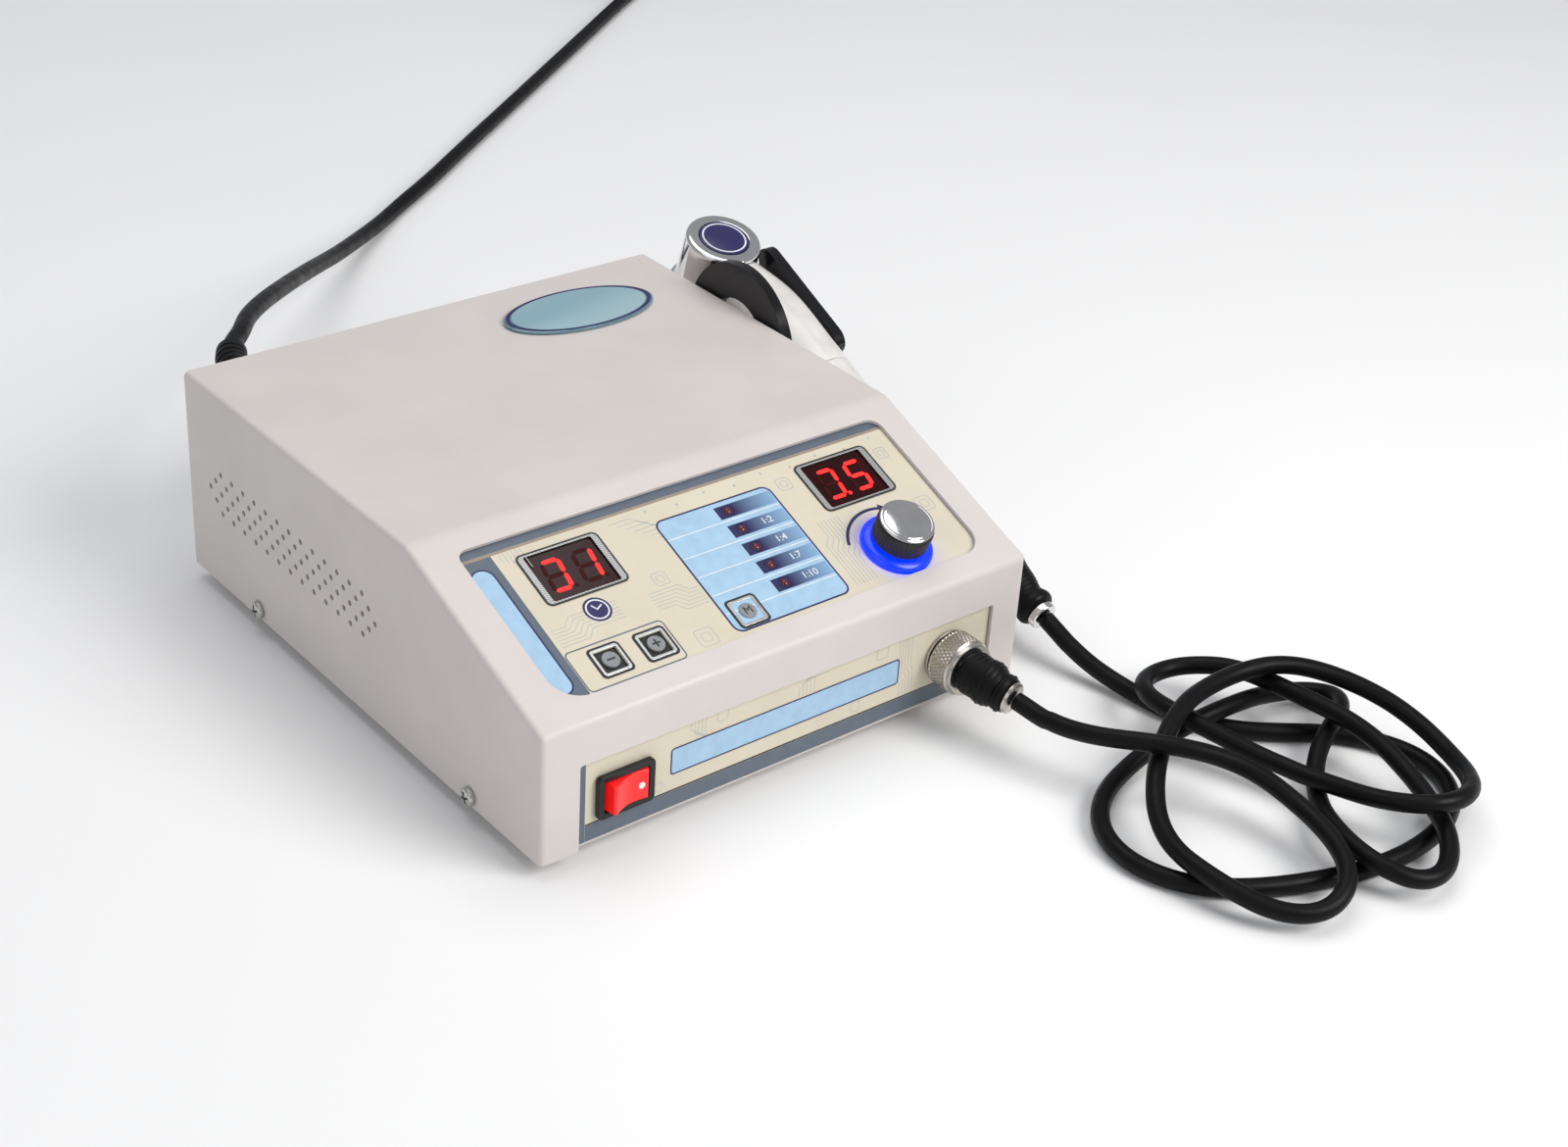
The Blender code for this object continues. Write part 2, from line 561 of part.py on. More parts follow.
def build_rocker(black, red, front):
    at = (*ROCKER, -FILM_DEPTH + GAP)
    w, h = BEZEL[0] / 2, BEZEL[1] / 2
    flange = prism(rounded(-w, -h, w, h, (1, 1, 1, 1), 2), 0, 1.9)
    housing = node("rocker_housing", flange, black, front, at)
    join(housing, block((18.8, 13.0, 17.0), (0, 0, -8.0)), at)
    cut(housing, block((16.2, 11.0, 14.0), (0, 0, -2.0)), at)
    a, b = ROCKER_SIZE[0] / 2, ROCKER_SIZE[1] / 2
    wedge = [(-a, -3.4), (a, -3.4), (a, 3.6), (a - 0.8, 3.8), (0, 2.3), (0.8 - a, 3.8), (-a, 3.6)]
    paddle = node("power_rocker", prism(wedge, -b, b, "Y"), red, front, at, smooth=False)
    paddle.rotation_euler = (0, math.radians(ROCKER_TILT), 0)


def build_output_plug(nickel, rubber, front):
    at = (*SOCKET, 0)
    flange = -FILM_DEPTH + GAP
    socket = [
        (0, -14), (5.6, -14), (5.6, -9), (8.0, -9), (8.0, flange), (9.2, flange), (9.2, -0.2),
        (6.9, 0), (6.9, 3.4), (6.0, 3.4), (6.0, -5.5), (0, -5.5),
    ]
    node("output_socket", turned(socket, 24), nickel, front, at)
    core = [(0, -5.0), (5.6, -5.0), (5.6, 3.7), (6.5, 3.7), (6.5, 10.6), (0, 10.6)]
    node("plug_core", turned(core, 24), nickel, front, at)
    ring = [
        (7.3, 0.6), (9.4, 0.6), (9.8, 1.0), (9.8, 8.4), (9.2, 9.0), (9.2, 10.6), (6.9, 10.6),
        (6.9, 6.0), (7.3, 6.0),
    ]
    node("coupling_ring", turned(ring, 32), nickel, front, at)
    path = [Vector(point) for point, radius in PLUG_BOOT]
    node("plug_boot", swept(path, [radius for point, radius in PLUG_BOOT], 20), rubber, front, at)
    out = (path[-1] - path[-2]).normalized()
    ends = [path[-1] + out * GAP, path[-1] + out * 1.8]
    node("plug_ferrule", swept(ends, [5.6, 5.2], 20), nickel, front, at)


def build_rear_fittings(black, brass, rubber, rear, datum):
    at = (-FUSE[0], FUSE[1], 0)
    shell = [
        (0, -36), (5.2, -36), (5.2, 0), (7.6, 0), (7.6, 1.6), (4.8, 1.6), (4.8, -3.0), (3.4, -3.0),
        (3.4, -32), (0, -32),
    ]
    node("fuse_holder", turned(shell, 20), black, rear, at)
    node("fuse_link", turned([(0, -24.5), (2.6, -24.5), (2.6, -4.5), (0, -4.5)], 14), brass, rear, at)
    cap = [(0, -2.4), (4.3, -2.4), (4.3, 1.9), (6.4, 1.9), (6.4, 6.4), (5.8, 7.0), (0, 7.0)]
    node("fuse_cap", turned(cap, 20), black, rear, at)
    radii = [6.4, 6.2, 6.0, 5.8, 5.6, 5.4]
    gland = node("mains_gland", swept(RELIEF_PATH, radii, 16), rubber, datum)
    start = (-RELIEF_PATH[0][0], RELIEF_PATH[0][2], 0)
    collar = [(0, -8), (5.6, -8), (5.6, -2.2), (4.2, -2.2), (4.2, 0.0), (8.0, 0.0), (8.0, 2.2), (0, 2.2)]
    combine(gland, helper(turned(collar, 16), rear, start), "UNION")


def build_badge(badge_blue, datum):
    bm = bmesh.new()
    shape = Matrix.Diagonal((30.0, 15.5, 1.0, 1.0))
    bmesh.ops.create_circle(bm, cap_ends=True, radius=1.0, segments=40, matrix=shape)
    moved = bmesh.ops.extrude_face_region(bm, geom=bm.faces[:])["geom"]
    top = [v for v in moved if isinstance(v, bmesh.types.BMVert)]
    bmesh.ops.translate(bm, verts=top, vec=(0, 0, 1.4))
    badge = node("top_badge", bm, badge_blue, datum, (44.0, 181.5, CASE_TOP + GAP))
    badge.rotation_euler = (0, 0, math.radians(-2))


def build_cradle(black, datum, handpiece):
    inner = HALF + GAP
    outer = inner + CRADLE_WALL
    cradle = node("cradle", prism(circle(EAR_RADIUS, 36, EAR), inner, outer, "X"), black, datum)
    join(cradle, block((CRADLE_WALL, 48, 26), ((inner + outer) / 2, 158, 50)))
    cut(cradle, prism(circle(EAR_HOLE, 28, EAR), inner - 2, outer + 2, "X"))
    r, wall = TROUGH_RADIUS, TROUGH_RADIUS + TROUGH_WALL
    hollow = [(-r, -2.0)] + circle(r, 32, start=math.pi)[:15:-1] + [(r, -2.0)]
    hide = [(wall, -2.0)] + [(wall * math.cos(a), wall * math.sin(a)) for a in np.radians(range(0, 151, 10))]
    root = inner - HANDPIECE_END[0] + 0.8
    trough = hollow + hide + [(root, 12.0), (root, -2.0)]
    combine(cradle, helper(prism(trough, 141, 180), handpiece), "UNION")
    jaw = [
        (149, 50.5), (144.5, 53.5), (142.8, 57.6), (144.8, 61.5), (164.5, 70.4), (186.5, 80.4), (190, 79.6),
        (191.4, 76), (188, 62.5),
    ]
    x = HANDPIECE_END[0] + wall
    join(cradle, prism(jaw, x - JAW_WALL, x + 0.3, "X"))
    for spot in CRADLE_SCREWS:
        cut(cradle, prism(circle(1.8, 8, spot), inner - 3, outer - 0.7, "X"))


def build_handpiece(white, rubber, chrome, face_metal, ceramic, label, handpiece, head):
    node("handle_ferrule", turned([(0, 0), (4.8, 0), (5.2, 0.5), (5.2, 2.7), (0, 2.7)], 20), chrome, handpiece)
    boot = [
        (0, 3.0), (5.4, 3.0), (6.6, 4.2), (6.9, 6.6), (6.2, 8.6), (6.9, 12.0), (7.9, 17.0), (8.8, 21.7),
        (0, 21.7),
    ]
    node("handle_boot", turned(boot, 24), rubber, handpiece)
    front = [
        (0, 22), (9.2, 22), (9.8, 22.8), (9.9, 60), (10.6, 95), (11.8, 118), (12.6, 126.8),
        (10.4, 126.8), (8.0, 60), (7.8, 26), (0, 26),
    ]
    node("handle_front_shell", turned(front, 28), white, handpiece)
    rear = [
        (10.5, 127.2), (12.7, 127.2), (14.3, 146), (15.4, 160), (15.2, 169), (13.9, 179), (12.0, 192),
        (9.8, 192), (11.6, 179), (13.0, 166), (12.0, 146),
    ]
    shell = node("handle_rear_shell", turned(rear, 28), white, handpiece)
    reach = HEAD_RADIUS + GAP
    room = [(0, 0.6), (reach, 0.6), (reach, -20.2), (16.8, -22.2), (16.8, -27), (0, -27)]
    combine(shell, helper(turned(room, 32), head), "DIFFERENCE")
    r = HEAD_RADIUS
    cup = [
        (0, -0.5), (9.8, -0.5), (9.8, 0), (r - 0.8, 0), (r, -0.8), (r, -20.5), (HEAD_RIM, -22.5),
        (HEAD_RIM, -23.7), (12.2, -23.7), (12.2, -3.0), (0, -3.0),
    ]
    node("head_shell", turned(cup, 32), chrome, head)
    face = [(0, -24.0), (HEAD_RIM, -24.0), (HEAD_RIM, -25.2), (HEAD_RIM - 0.8, -26.0), (0, -26.0)]
    node("head_face", turned(face, 32), face_metal, head)
    node("crystal_disc", turned([(0, -23.7), (11, -23.7), (11, -21.7), (0, -21.7)], 24), ceramic, head)
    node("head_label", turned([(0, -0.2), (9.5, -0.2), (9.5, 0.2), (0, 0.2)], 32), label, head)


def build_cords(rubber, nickel, datum):
    laid = laid_over(relaxed(smooth_path(CABLE_ROUTE, 2.0)), CABLE + 1.0, CABLE / 2 + 0.1)
    ends = laid[[0]], laid[[-1]]
    cord("handpiece_cable", np.vstack([ends[0], evenly(laid[2:-2], 17.5), ends[1]]), CABLE, rubber, datum)
    cord("mains_cord", smooth_path(MAINS_ROUTE, 16.0), MAINS, rubber, datum)
    inner, outer = COIL_RADIUS - MAINS, COIL_RADIUS + MAINS
    ring = [(inner, 0), (outer, 0), (outer, COIL_HEIGHT), (inner, COIL_HEIGHT)]
    node("mains_coil", turned(ring, 36), rubber, datum, (*COIL_CENTRE, 0))
    end = frame("mains_plug_axis", (470.2, 703.0, 16.0), (-1, 1, 0), (0, 0, 1), datum)
    body = [(0, 0), (5.0, 0), (7.0, 16), (8.5, 17), (14.0, 26), (15.5, 44), (15.0, 50), (0, 50)]
    plug = node("mains_plug", turned(body, 24), rubber, end)
    for x in (-9.5, 9.5):
        pin = [(0, 49), (2.4, 49), (2.4, 67), (1.4, 69), (0, 69)]
        join(plug, turned(pin, 12), (x, 0, 0))


def main():
    for obj in list(bpy.data.objects):
        bpy.data.objects.remove(obj, do_unlink=True)

    paint = finish_material("powder_coat", (0.66, 0.60, 0.58), 0.5)
    film = finish_material("panel_film", (0.66, 0.60, 0.47), 0.45)
    zinc = finish_material("zinc_plate", (0.55, 0.55, 0.53), 0.4, 1.0)
    steel = finish_material("screw_steel", (0.55, 0.54, 0.52), 0.3, 1.0)
    alloy = finish_material("alloy", (0.70, 0.70, 0.71), 0.4, 1.0)
    nickel = finish_material("nickel", (0.62, 0.60, 0.57), 0.25, 1.0)
    chrome = finish_material("chrome", (0.75, 0.74, 0.74), 0.12, 1.0)
    face_metal = finish_material("treatment_face", (0.45, 0.45, 0.46), 0.2, 1.0)
    iron = finish_material("transformer_iron", (0.09, 0.08, 0.07), 0.6)
    brass = finish_material("brass", (0.65, 0.47, 0.20), 0.35, 1.0)
    rubber = finish_material("black_rubber", (0.02, 0.02, 0.022), 0.7)
    black = finish_material("black_plastic", (0.018, 0.018, 0.02), 0.3)
    red = finish_material("lit_red_plastic", (0.75, 0.03, 0.02), 0.3)
    display_black = finish_material("display_black", (0.05, 0.003, 0.003), 0.2)
    led_red = finish_material("led_red", (0.25, 0.01, 0.01), 0.25)
    glow = finish_material("blue_glow", (0.02, 0.05, 0.8), 0.3)
    board_green = finish_material("circuit_board", (0.02, 0.13, 0.06), 0.5)
    badge_blue = finish_material("badge_blue", (0.38, 0.58, 0.75), 0.2)
    white = finish_material("handle_white", (0.72, 0.70, 0.66), 0.35)
    label = finish_material("label_navy", (0.02, 0.015, 0.09), 0.3)
    ceramic = finish_material("piezo_ceramic", (0.60, 0.52, 0.38), 0.5)

    centre_x, centre_y = UNIT_CENTRE
    datum = frame("datum", (-centre_x, -centre_y, 0), (1, 0, 0), (0, 1, 0))
    rise = (0, math.cos(SLOPE_ANGLE), math.sin(SLOPE_ANGLE))
    slope = frame("slope_frame", (0, 0, FOOT_HEIGHT + FRONT_HEIGHT), (1, 0, 0), rise, datum)
    front = frame("front_frame", (0, 0, FOOT_HEIGHT), (1, 0, 0), (0, 0, 1), datum)
    rear = frame("rear_frame", (0, DEPTH, 0), (-1, 0, 0), (0, 0, 1), datum)
    across = (0, math.sin(HANDPIECE_PITCH), -math.cos(HANDPIECE_PITCH))
    handpiece = frame("handpiece_frame", HANDPIECE_END, (1, 0, 0), across, datum)
    tilt = (0, math.cos(HEAD_TILT), math.sin(HEAD_TILT))
    head = frame("head_frame", HEAD_TOP, (1, 0, 0), tilt, datum)

    build_cover(paint, datum, slope, front)
    build_base(paint, rubber, datum, front)
    build_screws(steel, datum)
    build_panel(film, zinc, slope, front)
    build_display_board(board_green, display_black, led_red, slope)
    build_power_electronics(board_green, alloy, iron, datum)
    build_knob(alloy, glow, black, chrome, slope)
    build_keys(black, slope)
    build_rocker(black, red, front)
    build_output_plug(nickel, rubber, front)
    build_rear_fittings(black, brass, rubber, rear, datum)
    build_badge(badge_blue, datum)
    build_cradle(black, datum, handpiece)
    build_handpiece(white, rubber, chrome, face_metal, ceramic, label, handpiece, head)
    build_cords(rubber, nickel, datum)


main()
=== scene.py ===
"""Looks for the ultrasound therapy unit: fine meshes, printing, finishes, cords, light and camera.

Sizes below are millimetres in the frame of the case: x across from its middle, y back from its
front face, z up from the table. The matrices made by axes_at turn them into the row frame's metres.
"""

import json
import math

import bmesh
import bpy
import numpy as np
from mathutils import Matrix, Vector


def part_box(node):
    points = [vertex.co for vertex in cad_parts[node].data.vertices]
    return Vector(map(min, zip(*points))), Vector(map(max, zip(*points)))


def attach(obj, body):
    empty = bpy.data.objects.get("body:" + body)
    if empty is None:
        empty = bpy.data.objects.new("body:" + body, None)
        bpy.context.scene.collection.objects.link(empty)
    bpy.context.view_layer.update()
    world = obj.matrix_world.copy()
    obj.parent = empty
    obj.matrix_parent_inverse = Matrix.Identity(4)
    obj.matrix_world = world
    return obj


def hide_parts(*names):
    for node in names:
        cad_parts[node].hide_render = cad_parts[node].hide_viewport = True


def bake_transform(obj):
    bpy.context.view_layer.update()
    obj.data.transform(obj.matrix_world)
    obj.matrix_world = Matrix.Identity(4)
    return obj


MM = 0.001
SLOPE_RISE = 28.0
SLOPE_RUN = 73.0
SHEET = 1.2
BEND = 2.0
GAP = 0.3
FILM_TOP = -1.5
INK = 0.03

# Camera: where it stands, its angles in radians and its lens
VIEWPOINT = (-430.06, -484.71, 455.18)
VIEW_AZIMUTH = -0.715354
VIEW_ELEVATION = 0.531647
VIEW_ROLL = 0.069467
LENS = 57.638

# Vents: five staggered rows in each side of the cover
VENT_RADIUS = 1.05
VENT_PITCH = 7.53
VENT_ROW_PITCH = 3.7
VENT_ROWS = (13, 14, 15, 14, 13)
VENT_MIDDLE = (143.7, 42.1)

# Cradle and handpiece
EAR = (155.5, 65.7)
EAR_RADIUS = 28.0
EAR_HOLE = 15.0
CRADLE_WALL = 4.0
TROUGH_RADIUS = 16.2
TROUGH_WALL = 3.8
JAW_WALL = 4.1
HANDPIECE_END = (117.5, 9.0, 14.5)
HANDPIECE_PITCH = math.radians(17.0)
HEAD_TOP = (117.5, 192.7, 86.3)
HEAD_RADIUS = 14.4
HEAD_RIM = 16.4

# Cords
CABLE = 6.2
MAINS = 6.8
COIL_CENTRE = (422.2, 713.1)
COIL_RADII = (34.1, 40.9)
HUMP_RISE = 4.5
HUMP_LENGTH = 15.0
CABLE_ROUTE = [
    (117.5, 8.3, 14.3), (117.4, 2.3, 12.3), (117.9, -6.0, 8.9), (119.4, -17.0, 5.2),
    (122.5, -28.0, 3.4), (125.0, -42.0, 3.3), (129.0, -56.0, 3.3), (137.0, -67.0, 3.3),
    (152.0, -77.0, 3.3), (166.0, -91.0, 3.3), (173.5, -106.0, 3.3), (171.0, -122.0, 3.3),
    (159.0, -134.0, 3.3), (142.0, -139.5, 3.3), (122.0, -140.5, 3.3), (101.0, -136.0, 3.3),
    (79.0, -127.0, 3.3), (61.0, -113.0, 3.3), (54.5, -96.0, 3.3), (58.0, -80.0, 3.3),
    (72.0, -66.5, 3.3), (92.0, -59.5, 3.3), (113.0, -58.0, 3.3), (135.0, -60.5, 3.3),
    (153.0, -59.0, 3.3), (168.0, -60.0, 3.3), (175.5, -71.5, 3.3), (165.5, -83.0, 3.3),
    (148.0, -88.5, 3.3), (135.0, -98.0, 3.3), (123.0, -111.5, 3.3), (112.0, -128.0, 3.3),
    (108.5, -143.5, 3.3), (113.5, -155.0, 3.3), (126.5, -157.5, 3.3), (137.0, -149.0, 3.3),
    (146.0, -135.5, 3.3), (153.5, -119.5, 3.3), (154.5, -102.5, 3.3), (152.5, -84.5, 3.3),
    (152.0, -65.5, 3.3), (148.5, -46.0, 3.3), (137.5, -33.0, 3.3), (123.0, -33.0, 3.3),
    (113.0, -44.5, 3.3), (112.5, -61.5, 3.3), (119.5, -80.5, 3.3), (126.0, -102.0, 3.3),
    (130.0, -123.5, 3.3), (136.5, -139.5, 3.3), (149.5, -143.5, 3.3), (164.5, -134.5, 3.3),
    (175.0, -117.5, 3.3), (177.5, -99.0, 3.3), (171.0, -81.5, 3.3), (158.5, -66.5, 3.3),
    (141.0, -58.5, 3.3), (122.5, -59.5, 3.3), (105.0, -64.0, 3.3), (89.5, -72.0, 3.3),
    (75.5, -83.5, 3.3), (64.5, -100.5, 3.3), (62.0, -120.0, 3.3), (69.0, -137.5, 3.3),
    (80.5, -148.5, 3.3), (93.0, -147.0, 3.3), (101.5, -135.5, 3.3), (107.0, -115.5, 3.3),
    (104.5, -98.0, 7.5), (96.0, -87.0, 12.5), (87.4, -79.2, 16.0), (80.1, -70.2, 18.0),
    (75.6, -62.6, 18.6), (72.3, -55.1, 18.8), (70.1, -47.6, 18.7), (68.8, -39.6, 18.8),
    (68.0, -32.9, 19.5), (67.2, -29.0, 20.2),
]
MAINS_ROUTE = [
    (-63.3, 238.4, 66.6), (-58.9, 245.3, 66.0), (-54.0, 251.0, 65.2),
    (-43.6, 265.3, 62.6), (-29.4, 283.0, 58.0), (-9.7, 305.9, 50.2),
    (14.1, 334.1, 39.4), (41.2, 365.2, 27.2), (68.1, 393.8, 16.4), (94.4, 419.7, 8.4),
    (117.1, 439.2, 4.3), (136.3, 453.8, 3.5), (155.8, 467.2, 3.5), (191.0, 493.0, 3.5),
    (228.4, 520.5, 3.5), (270.0, 551.0, 3.5), (312.3, 582.1, 3.5), (357.0, 615.0, 3.5),
    (402.6, 648.2, 3.5), (426.5, 665.6, 3.5),
]
PLUG_LEAD = [(463.0, 692.0, 17.0), (469.6, 702.4, 16.0)]
RELIEF_PATH = [
    (-72.0, 211.3, 66.8), (-71.6, 216.0, 67.0), (-70.4, 221.5, 67.0), (-68.6, 227.5, 66.9),
    (-66.2, 233.0, 66.8), (-63.6, 237.8, 66.6),
]
PLUG_BOOT = [
    ((0.0, 0.0, 10.9), 7.2), ((0.0, 0.0, 12.6), 7.6), ((0.3, -0.2, 16.0), 7.4),
    ((0.8, -0.6, 18.5), 8.0), ((1.2, -1.0, 20.6), 7.5), ((1.7, -1.4, 22.6), 6.3),
    ((2.2, -1.8, 24.6), 6.8), ((2.6, -2.1, 26.4), 6.2),
]

# Segments of a digit, as pairs of corners of a 2 by 1 ladder: across 0-1, up 0-2
SEGMENTS = {
    "a": ((0, 2), (1, 2)), "b": ((1, 2), (1, 1)), "c": ((1, 1), (1, 0)), "d": ((0, 0), (1, 0)),
    "e": ((0, 1), (0, 0)), "f": ((0, 2), (0, 1)), "g": ((0, 1), (1, 1)),
}

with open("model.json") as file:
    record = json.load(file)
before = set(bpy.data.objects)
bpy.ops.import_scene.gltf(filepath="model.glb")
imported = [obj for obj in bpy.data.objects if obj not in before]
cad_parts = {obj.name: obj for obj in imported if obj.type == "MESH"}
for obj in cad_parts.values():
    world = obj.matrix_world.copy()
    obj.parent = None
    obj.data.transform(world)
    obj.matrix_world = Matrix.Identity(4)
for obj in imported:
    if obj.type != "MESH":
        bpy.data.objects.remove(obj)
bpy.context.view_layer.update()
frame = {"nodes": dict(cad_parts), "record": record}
cover_low, cover_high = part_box("cover")
ORIGIN = Vector(((cover_low.x + cover_high.x) / 2, cover_low.y, 0))
HALF = (cover_high.x - cover_low.x) / 2 / MM
DEPTH = (cover_high.y - cover_low.y) / MM
FOOT = cover_low.z / MM
TOP = cover_high.z / MM
SLOPE_ANGLE = math.atan2(SLOPE_RISE, SLOPE_RUN)


def axes_at(origin, x_axis=(1, 0, 0), y_axis=(0, 1, 0)):
    """Matrix from a local frame in millimetres, given in case millimetres, to metres."""
    x, y = Vector(x_axis).normalized(), Vector(y_axis).normalized()
    turn = Matrix((x, y, x.cross(y))).transposed().to_4x4()
    return Matrix.Translation(ORIGIN) @ Matrix.Scale(MM, 4) @ Matrix.Translation(origin) @ turn


CASE = axes_at((0, 0, 0))
RISE = (0, math.cos(SLOPE_ANGLE), math.sin(SLOPE_ANGLE))
SLOPE = axes_at((0, 0, TOP - SLOPE_RISE), y_axis=RISE)
FRONT = axes_at((0, 0, FOOT), y_axis=(0, 0, 1))
REAR = axes_at((0, DEPTH, 0), (-1, 0, 0), (0, 0, 1))
ACROSS = (0, math.sin(HANDPIECE_PITCH), -math.cos(HANDPIECE_PITCH))
HANDPIECE = axes_at(HANDPIECE_END, y_axis=ACROSS)
HEAD = axes_at(HEAD_TOP, y_axis=(0, math.cos(HANDPIECE_PITCH), math.sin(HANDPIECE_PITCH)))


def shifted(axes, x, y, z=0.0):
    return axes @ Matrix.Translation((x, y, z))


def extent(name, axes):
    """Lowest and highest corner of a CAD node in a local frame, in its millimetres."""
    back = axes.inverted()
    spots = np.array([back @ v.co for v in frame["nodes"][name].data.vertices])
    return spots.min(axis=0), spots.max(axis=0)


def centre_of(name, axes):
    low, high = extent(name, axes)
    return (low[0] + high[0]) / 2, (low[1] + high[1]) / 2


# Camera


def add_camera():
    """Three-quarter view from the front left, turned by its azimuth, elevation and roll."""
    level = math.cos(VIEW_ELEVATION)
    back = Vector((math.sin(VIEW_AZIMUTH) * level, -math.cos(VIEW_AZIMUTH) * level, math.sin(VIEW_ELEVATION)))
    side = Vector((0, 0, 1)).cross(back).normalized()
    up = back.cross(side)
    right = side * math.cos(VIEW_ROLL) + up * math.sin(VIEW_ROLL)
    above = up * math.cos(VIEW_ROLL) - side * math.sin(VIEW_ROLL)
    data = bpy.data.cameras.new("camera")
    data.sensor_fit = "HORIZONTAL"
    data.sensor_width = 36.0
    data.lens = LENS
    data.clip_start = 0.01
    camera = bpy.data.objects.new("camera", data)
    bpy.context.scene.collection.objects.link(camera)
    turn = Matrix((right, above, back)).transposed().to_4x4()
    camera.matrix_world = Matrix.Translation(CASE @ Vector(VIEWPOINT)) @ turn
    bpy.context.scene.camera = camera


# Materials


class Finish:
    """A Principled material and short calls that add procedural detail to it, in metres."""

    def __init__(self, name, colour, roughness, metallic=0.0, **sockets):
        self.material = bpy.data.materials.new(name)
        self.material.use_nodes = True
        self.tree = self.material.node_tree
        self.shader = self.tree.nodes["Principled BSDF"]
        self.colour, self.roughness = colour, roughness
        self.shader.inputs["Base Color"].default_value = (*colour, 1)
        self.shader.inputs["Roughness"].default_value = roughness
        self.shader.inputs["Metallic"].default_value = metallic
        for key, value in sockets.items():
            self.shader.inputs[key.replace("_", " ")].default_value = value
        self.space = self.add("ShaderNodeTexCoord").outputs["Object"]
        self.normal = None

    def add(self, kind, **settings):
        made = self.tree.nodes.new(kind)
        for key, value in settings.items():
            setattr(made, key, value)
        return made

    def link(self, output, target):
        self.tree.links.new(output, target)

    def noise(self, size, detail=2.0, stretch=(1, 1, 1), roughness=0.5):
        """Noise whose features are about size metres across."""
        place = self.add("ShaderNodeMapping")
        place.inputs["Scale"].default_value = stretch
        self.link(self.space, place.inputs["Vector"])
        made = self.add("ShaderNodeTexNoise")
        made.inputs["Scale"].default_value = 1.0 / size
        made.inputs["Detail"].default_value = detail
        made.inputs["Roughness"].default_value = roughness
        self.link(place.outputs["Vector"], made.inputs["Vector"])
        return made.outputs["Fac"]

    def spread(self, source, low, high, start=0.3, end=0.7):
        made = self.add("ShaderNodeMapRange")
        made.inputs["From Min"].default_value = start
        made.inputs["From Max"].default_value = end
        made.inputs["To Min"].default_value = low
        made.inputs["To Max"].default_value = high
        self.link(source, made.inputs["Value"])
        return made.outputs["Result"]

    def blend(self, factor, one, two):
        made = self.add("ShaderNodeMix", data_type="RGBA")
        self.link(factor, made.inputs["Factor"])
        for socket, colour in zip(("A", "B"), (one, two)):
            target = [i for i in made.inputs if i.name == socket and i.type == "RGBA"][0]
            if isinstance(colour, tuple):
                target.default_value = (*colour, 1)
            else:
                self.link(colour, target)
        return [o for o in made.outputs if o.type == "RGBA"][0]

    def paint(self, output):
        self.link(output, self.shader.inputs["Base Color"])
        return self

    def mottled(self, amount, size, tint=None):
        """Slow colour variation of the surface, towards a tint where one is given."""
        dark = tint or tuple(c * (1 - amount) for c in self.colour)
        light = tuple(min(1.0, c * (1 + amount)) for c in self.colour)
        return self.paint(self.blend(self.spread(self.noise(size, 4.0), 0, 1), dark, light))

    def worn(self, low, high, size, stretch=(1, 1, 1)):
        """Uneven gloss: roughness drifts between two values."""
        drift = self.spread(self.noise(size, 5.0, stretch), low, high)
        self.link(drift, self.shader.inputs["Roughness"])
        return self

    def bump(self, height, depth, strength=1.0):
        made = self.add("ShaderNodeBump")
        made.inputs["Strength"].default_value = strength
        made.inputs["Distance"].default_value = depth
        self.link(height, made.inputs["Height"])
        if self.normal is not None:
            self.link(self.normal, made.inputs["Normal"])
        self.normal = made.outputs["Normal"]
        self.link(self.normal, self.shader.inputs["Normal"])
        return self

    def grained(self, size, depth, strength=1.0, stretch=(1, 1, 1)):
        return self.bump(self.noise(size, 2.0, stretch), depth, strength)


def powder_coat():
    made = Finish("powder_coat", (0.66, 0.61, 0.585), 0.42, Specular_IOR_Level=0.45)
    made.mottled(0.03, 0.03)
    made.worn(0.36, 0.5, 0.012)
    return made.grained(0.00075, 0.00005, 0.55).grained(0.00022, 0.00001, 0.35)


def film(name, colour, roughness=0.36):
    made = Finish(name, colour, roughness, Specular_IOR_Level=0.4)
    made.mottled(0.035, 0.018)
    made.worn(roughness - 0.05, roughness + 0.08, 0.008)
    return made.grained(0.00035, 0.000012, 0.5)


def ink(name, colour, roughness=0.4):
    made = Finish(name, colour, roughness)
    made.mottled(0.06, 0.004)
    return made.grained(0.0003, 0.000008, 0.4)


def gradient_ink(name, left, right, start, end):
    """Ink that fades from one colour to another between two places across the panel."""
    made = Finish(name, left, 0.38)
    split = made.add("ShaderNodeSeparateXYZ")
    made.link(made.space, split.inputs["Vector"])
    made.paint(made.blend(made.spread(split.outputs["X"], 0, 1, start, end), left, right))
    return made.grained(0.0003, 0.000008, 0.4)


def moulded(name, colour, roughness, grain=0.0006, depth=0.00002, **sockets):
    made = Finish(name, colour, roughness, **sockets)
    made.mottled(0.08, 0.01)
    made.worn(roughness * 0.85, roughness * 1.2, 0.006)
    return made.grained(grain, depth, 0.5)


def metal(name, colour, roughness, stretch=(1, 1, 1), depth=0.000006):
    made = Finish(name, colour, roughness, 1.0)
    made.mottled(0.05, 0.006)
    made.worn(roughness * 0.75, roughness * 1.35, 0.0025, stretch)
    return made.grained(0.0004, depth, 0.6, stretch)


def hatched(name, one, two, pitch):
    """Fine diagonal printed hatching on silver."""
    made = Finish(name, one, 0.35, 0.6)
    wave = made.add("ShaderNodeTexWave", wave_type="BANDS", bands_direction="DIAGONAL")
    wave.inputs["Scale"].default_value = 0.31 / pitch
    made.link(made.space, wave.inputs["Vector"])
    made.paint(made.blend(made.spread(wave.outputs["Fac"], 0, 1, 0.35, 0.65), one, two))
    return made.grained(0.0004, 0.00001, 0.5)


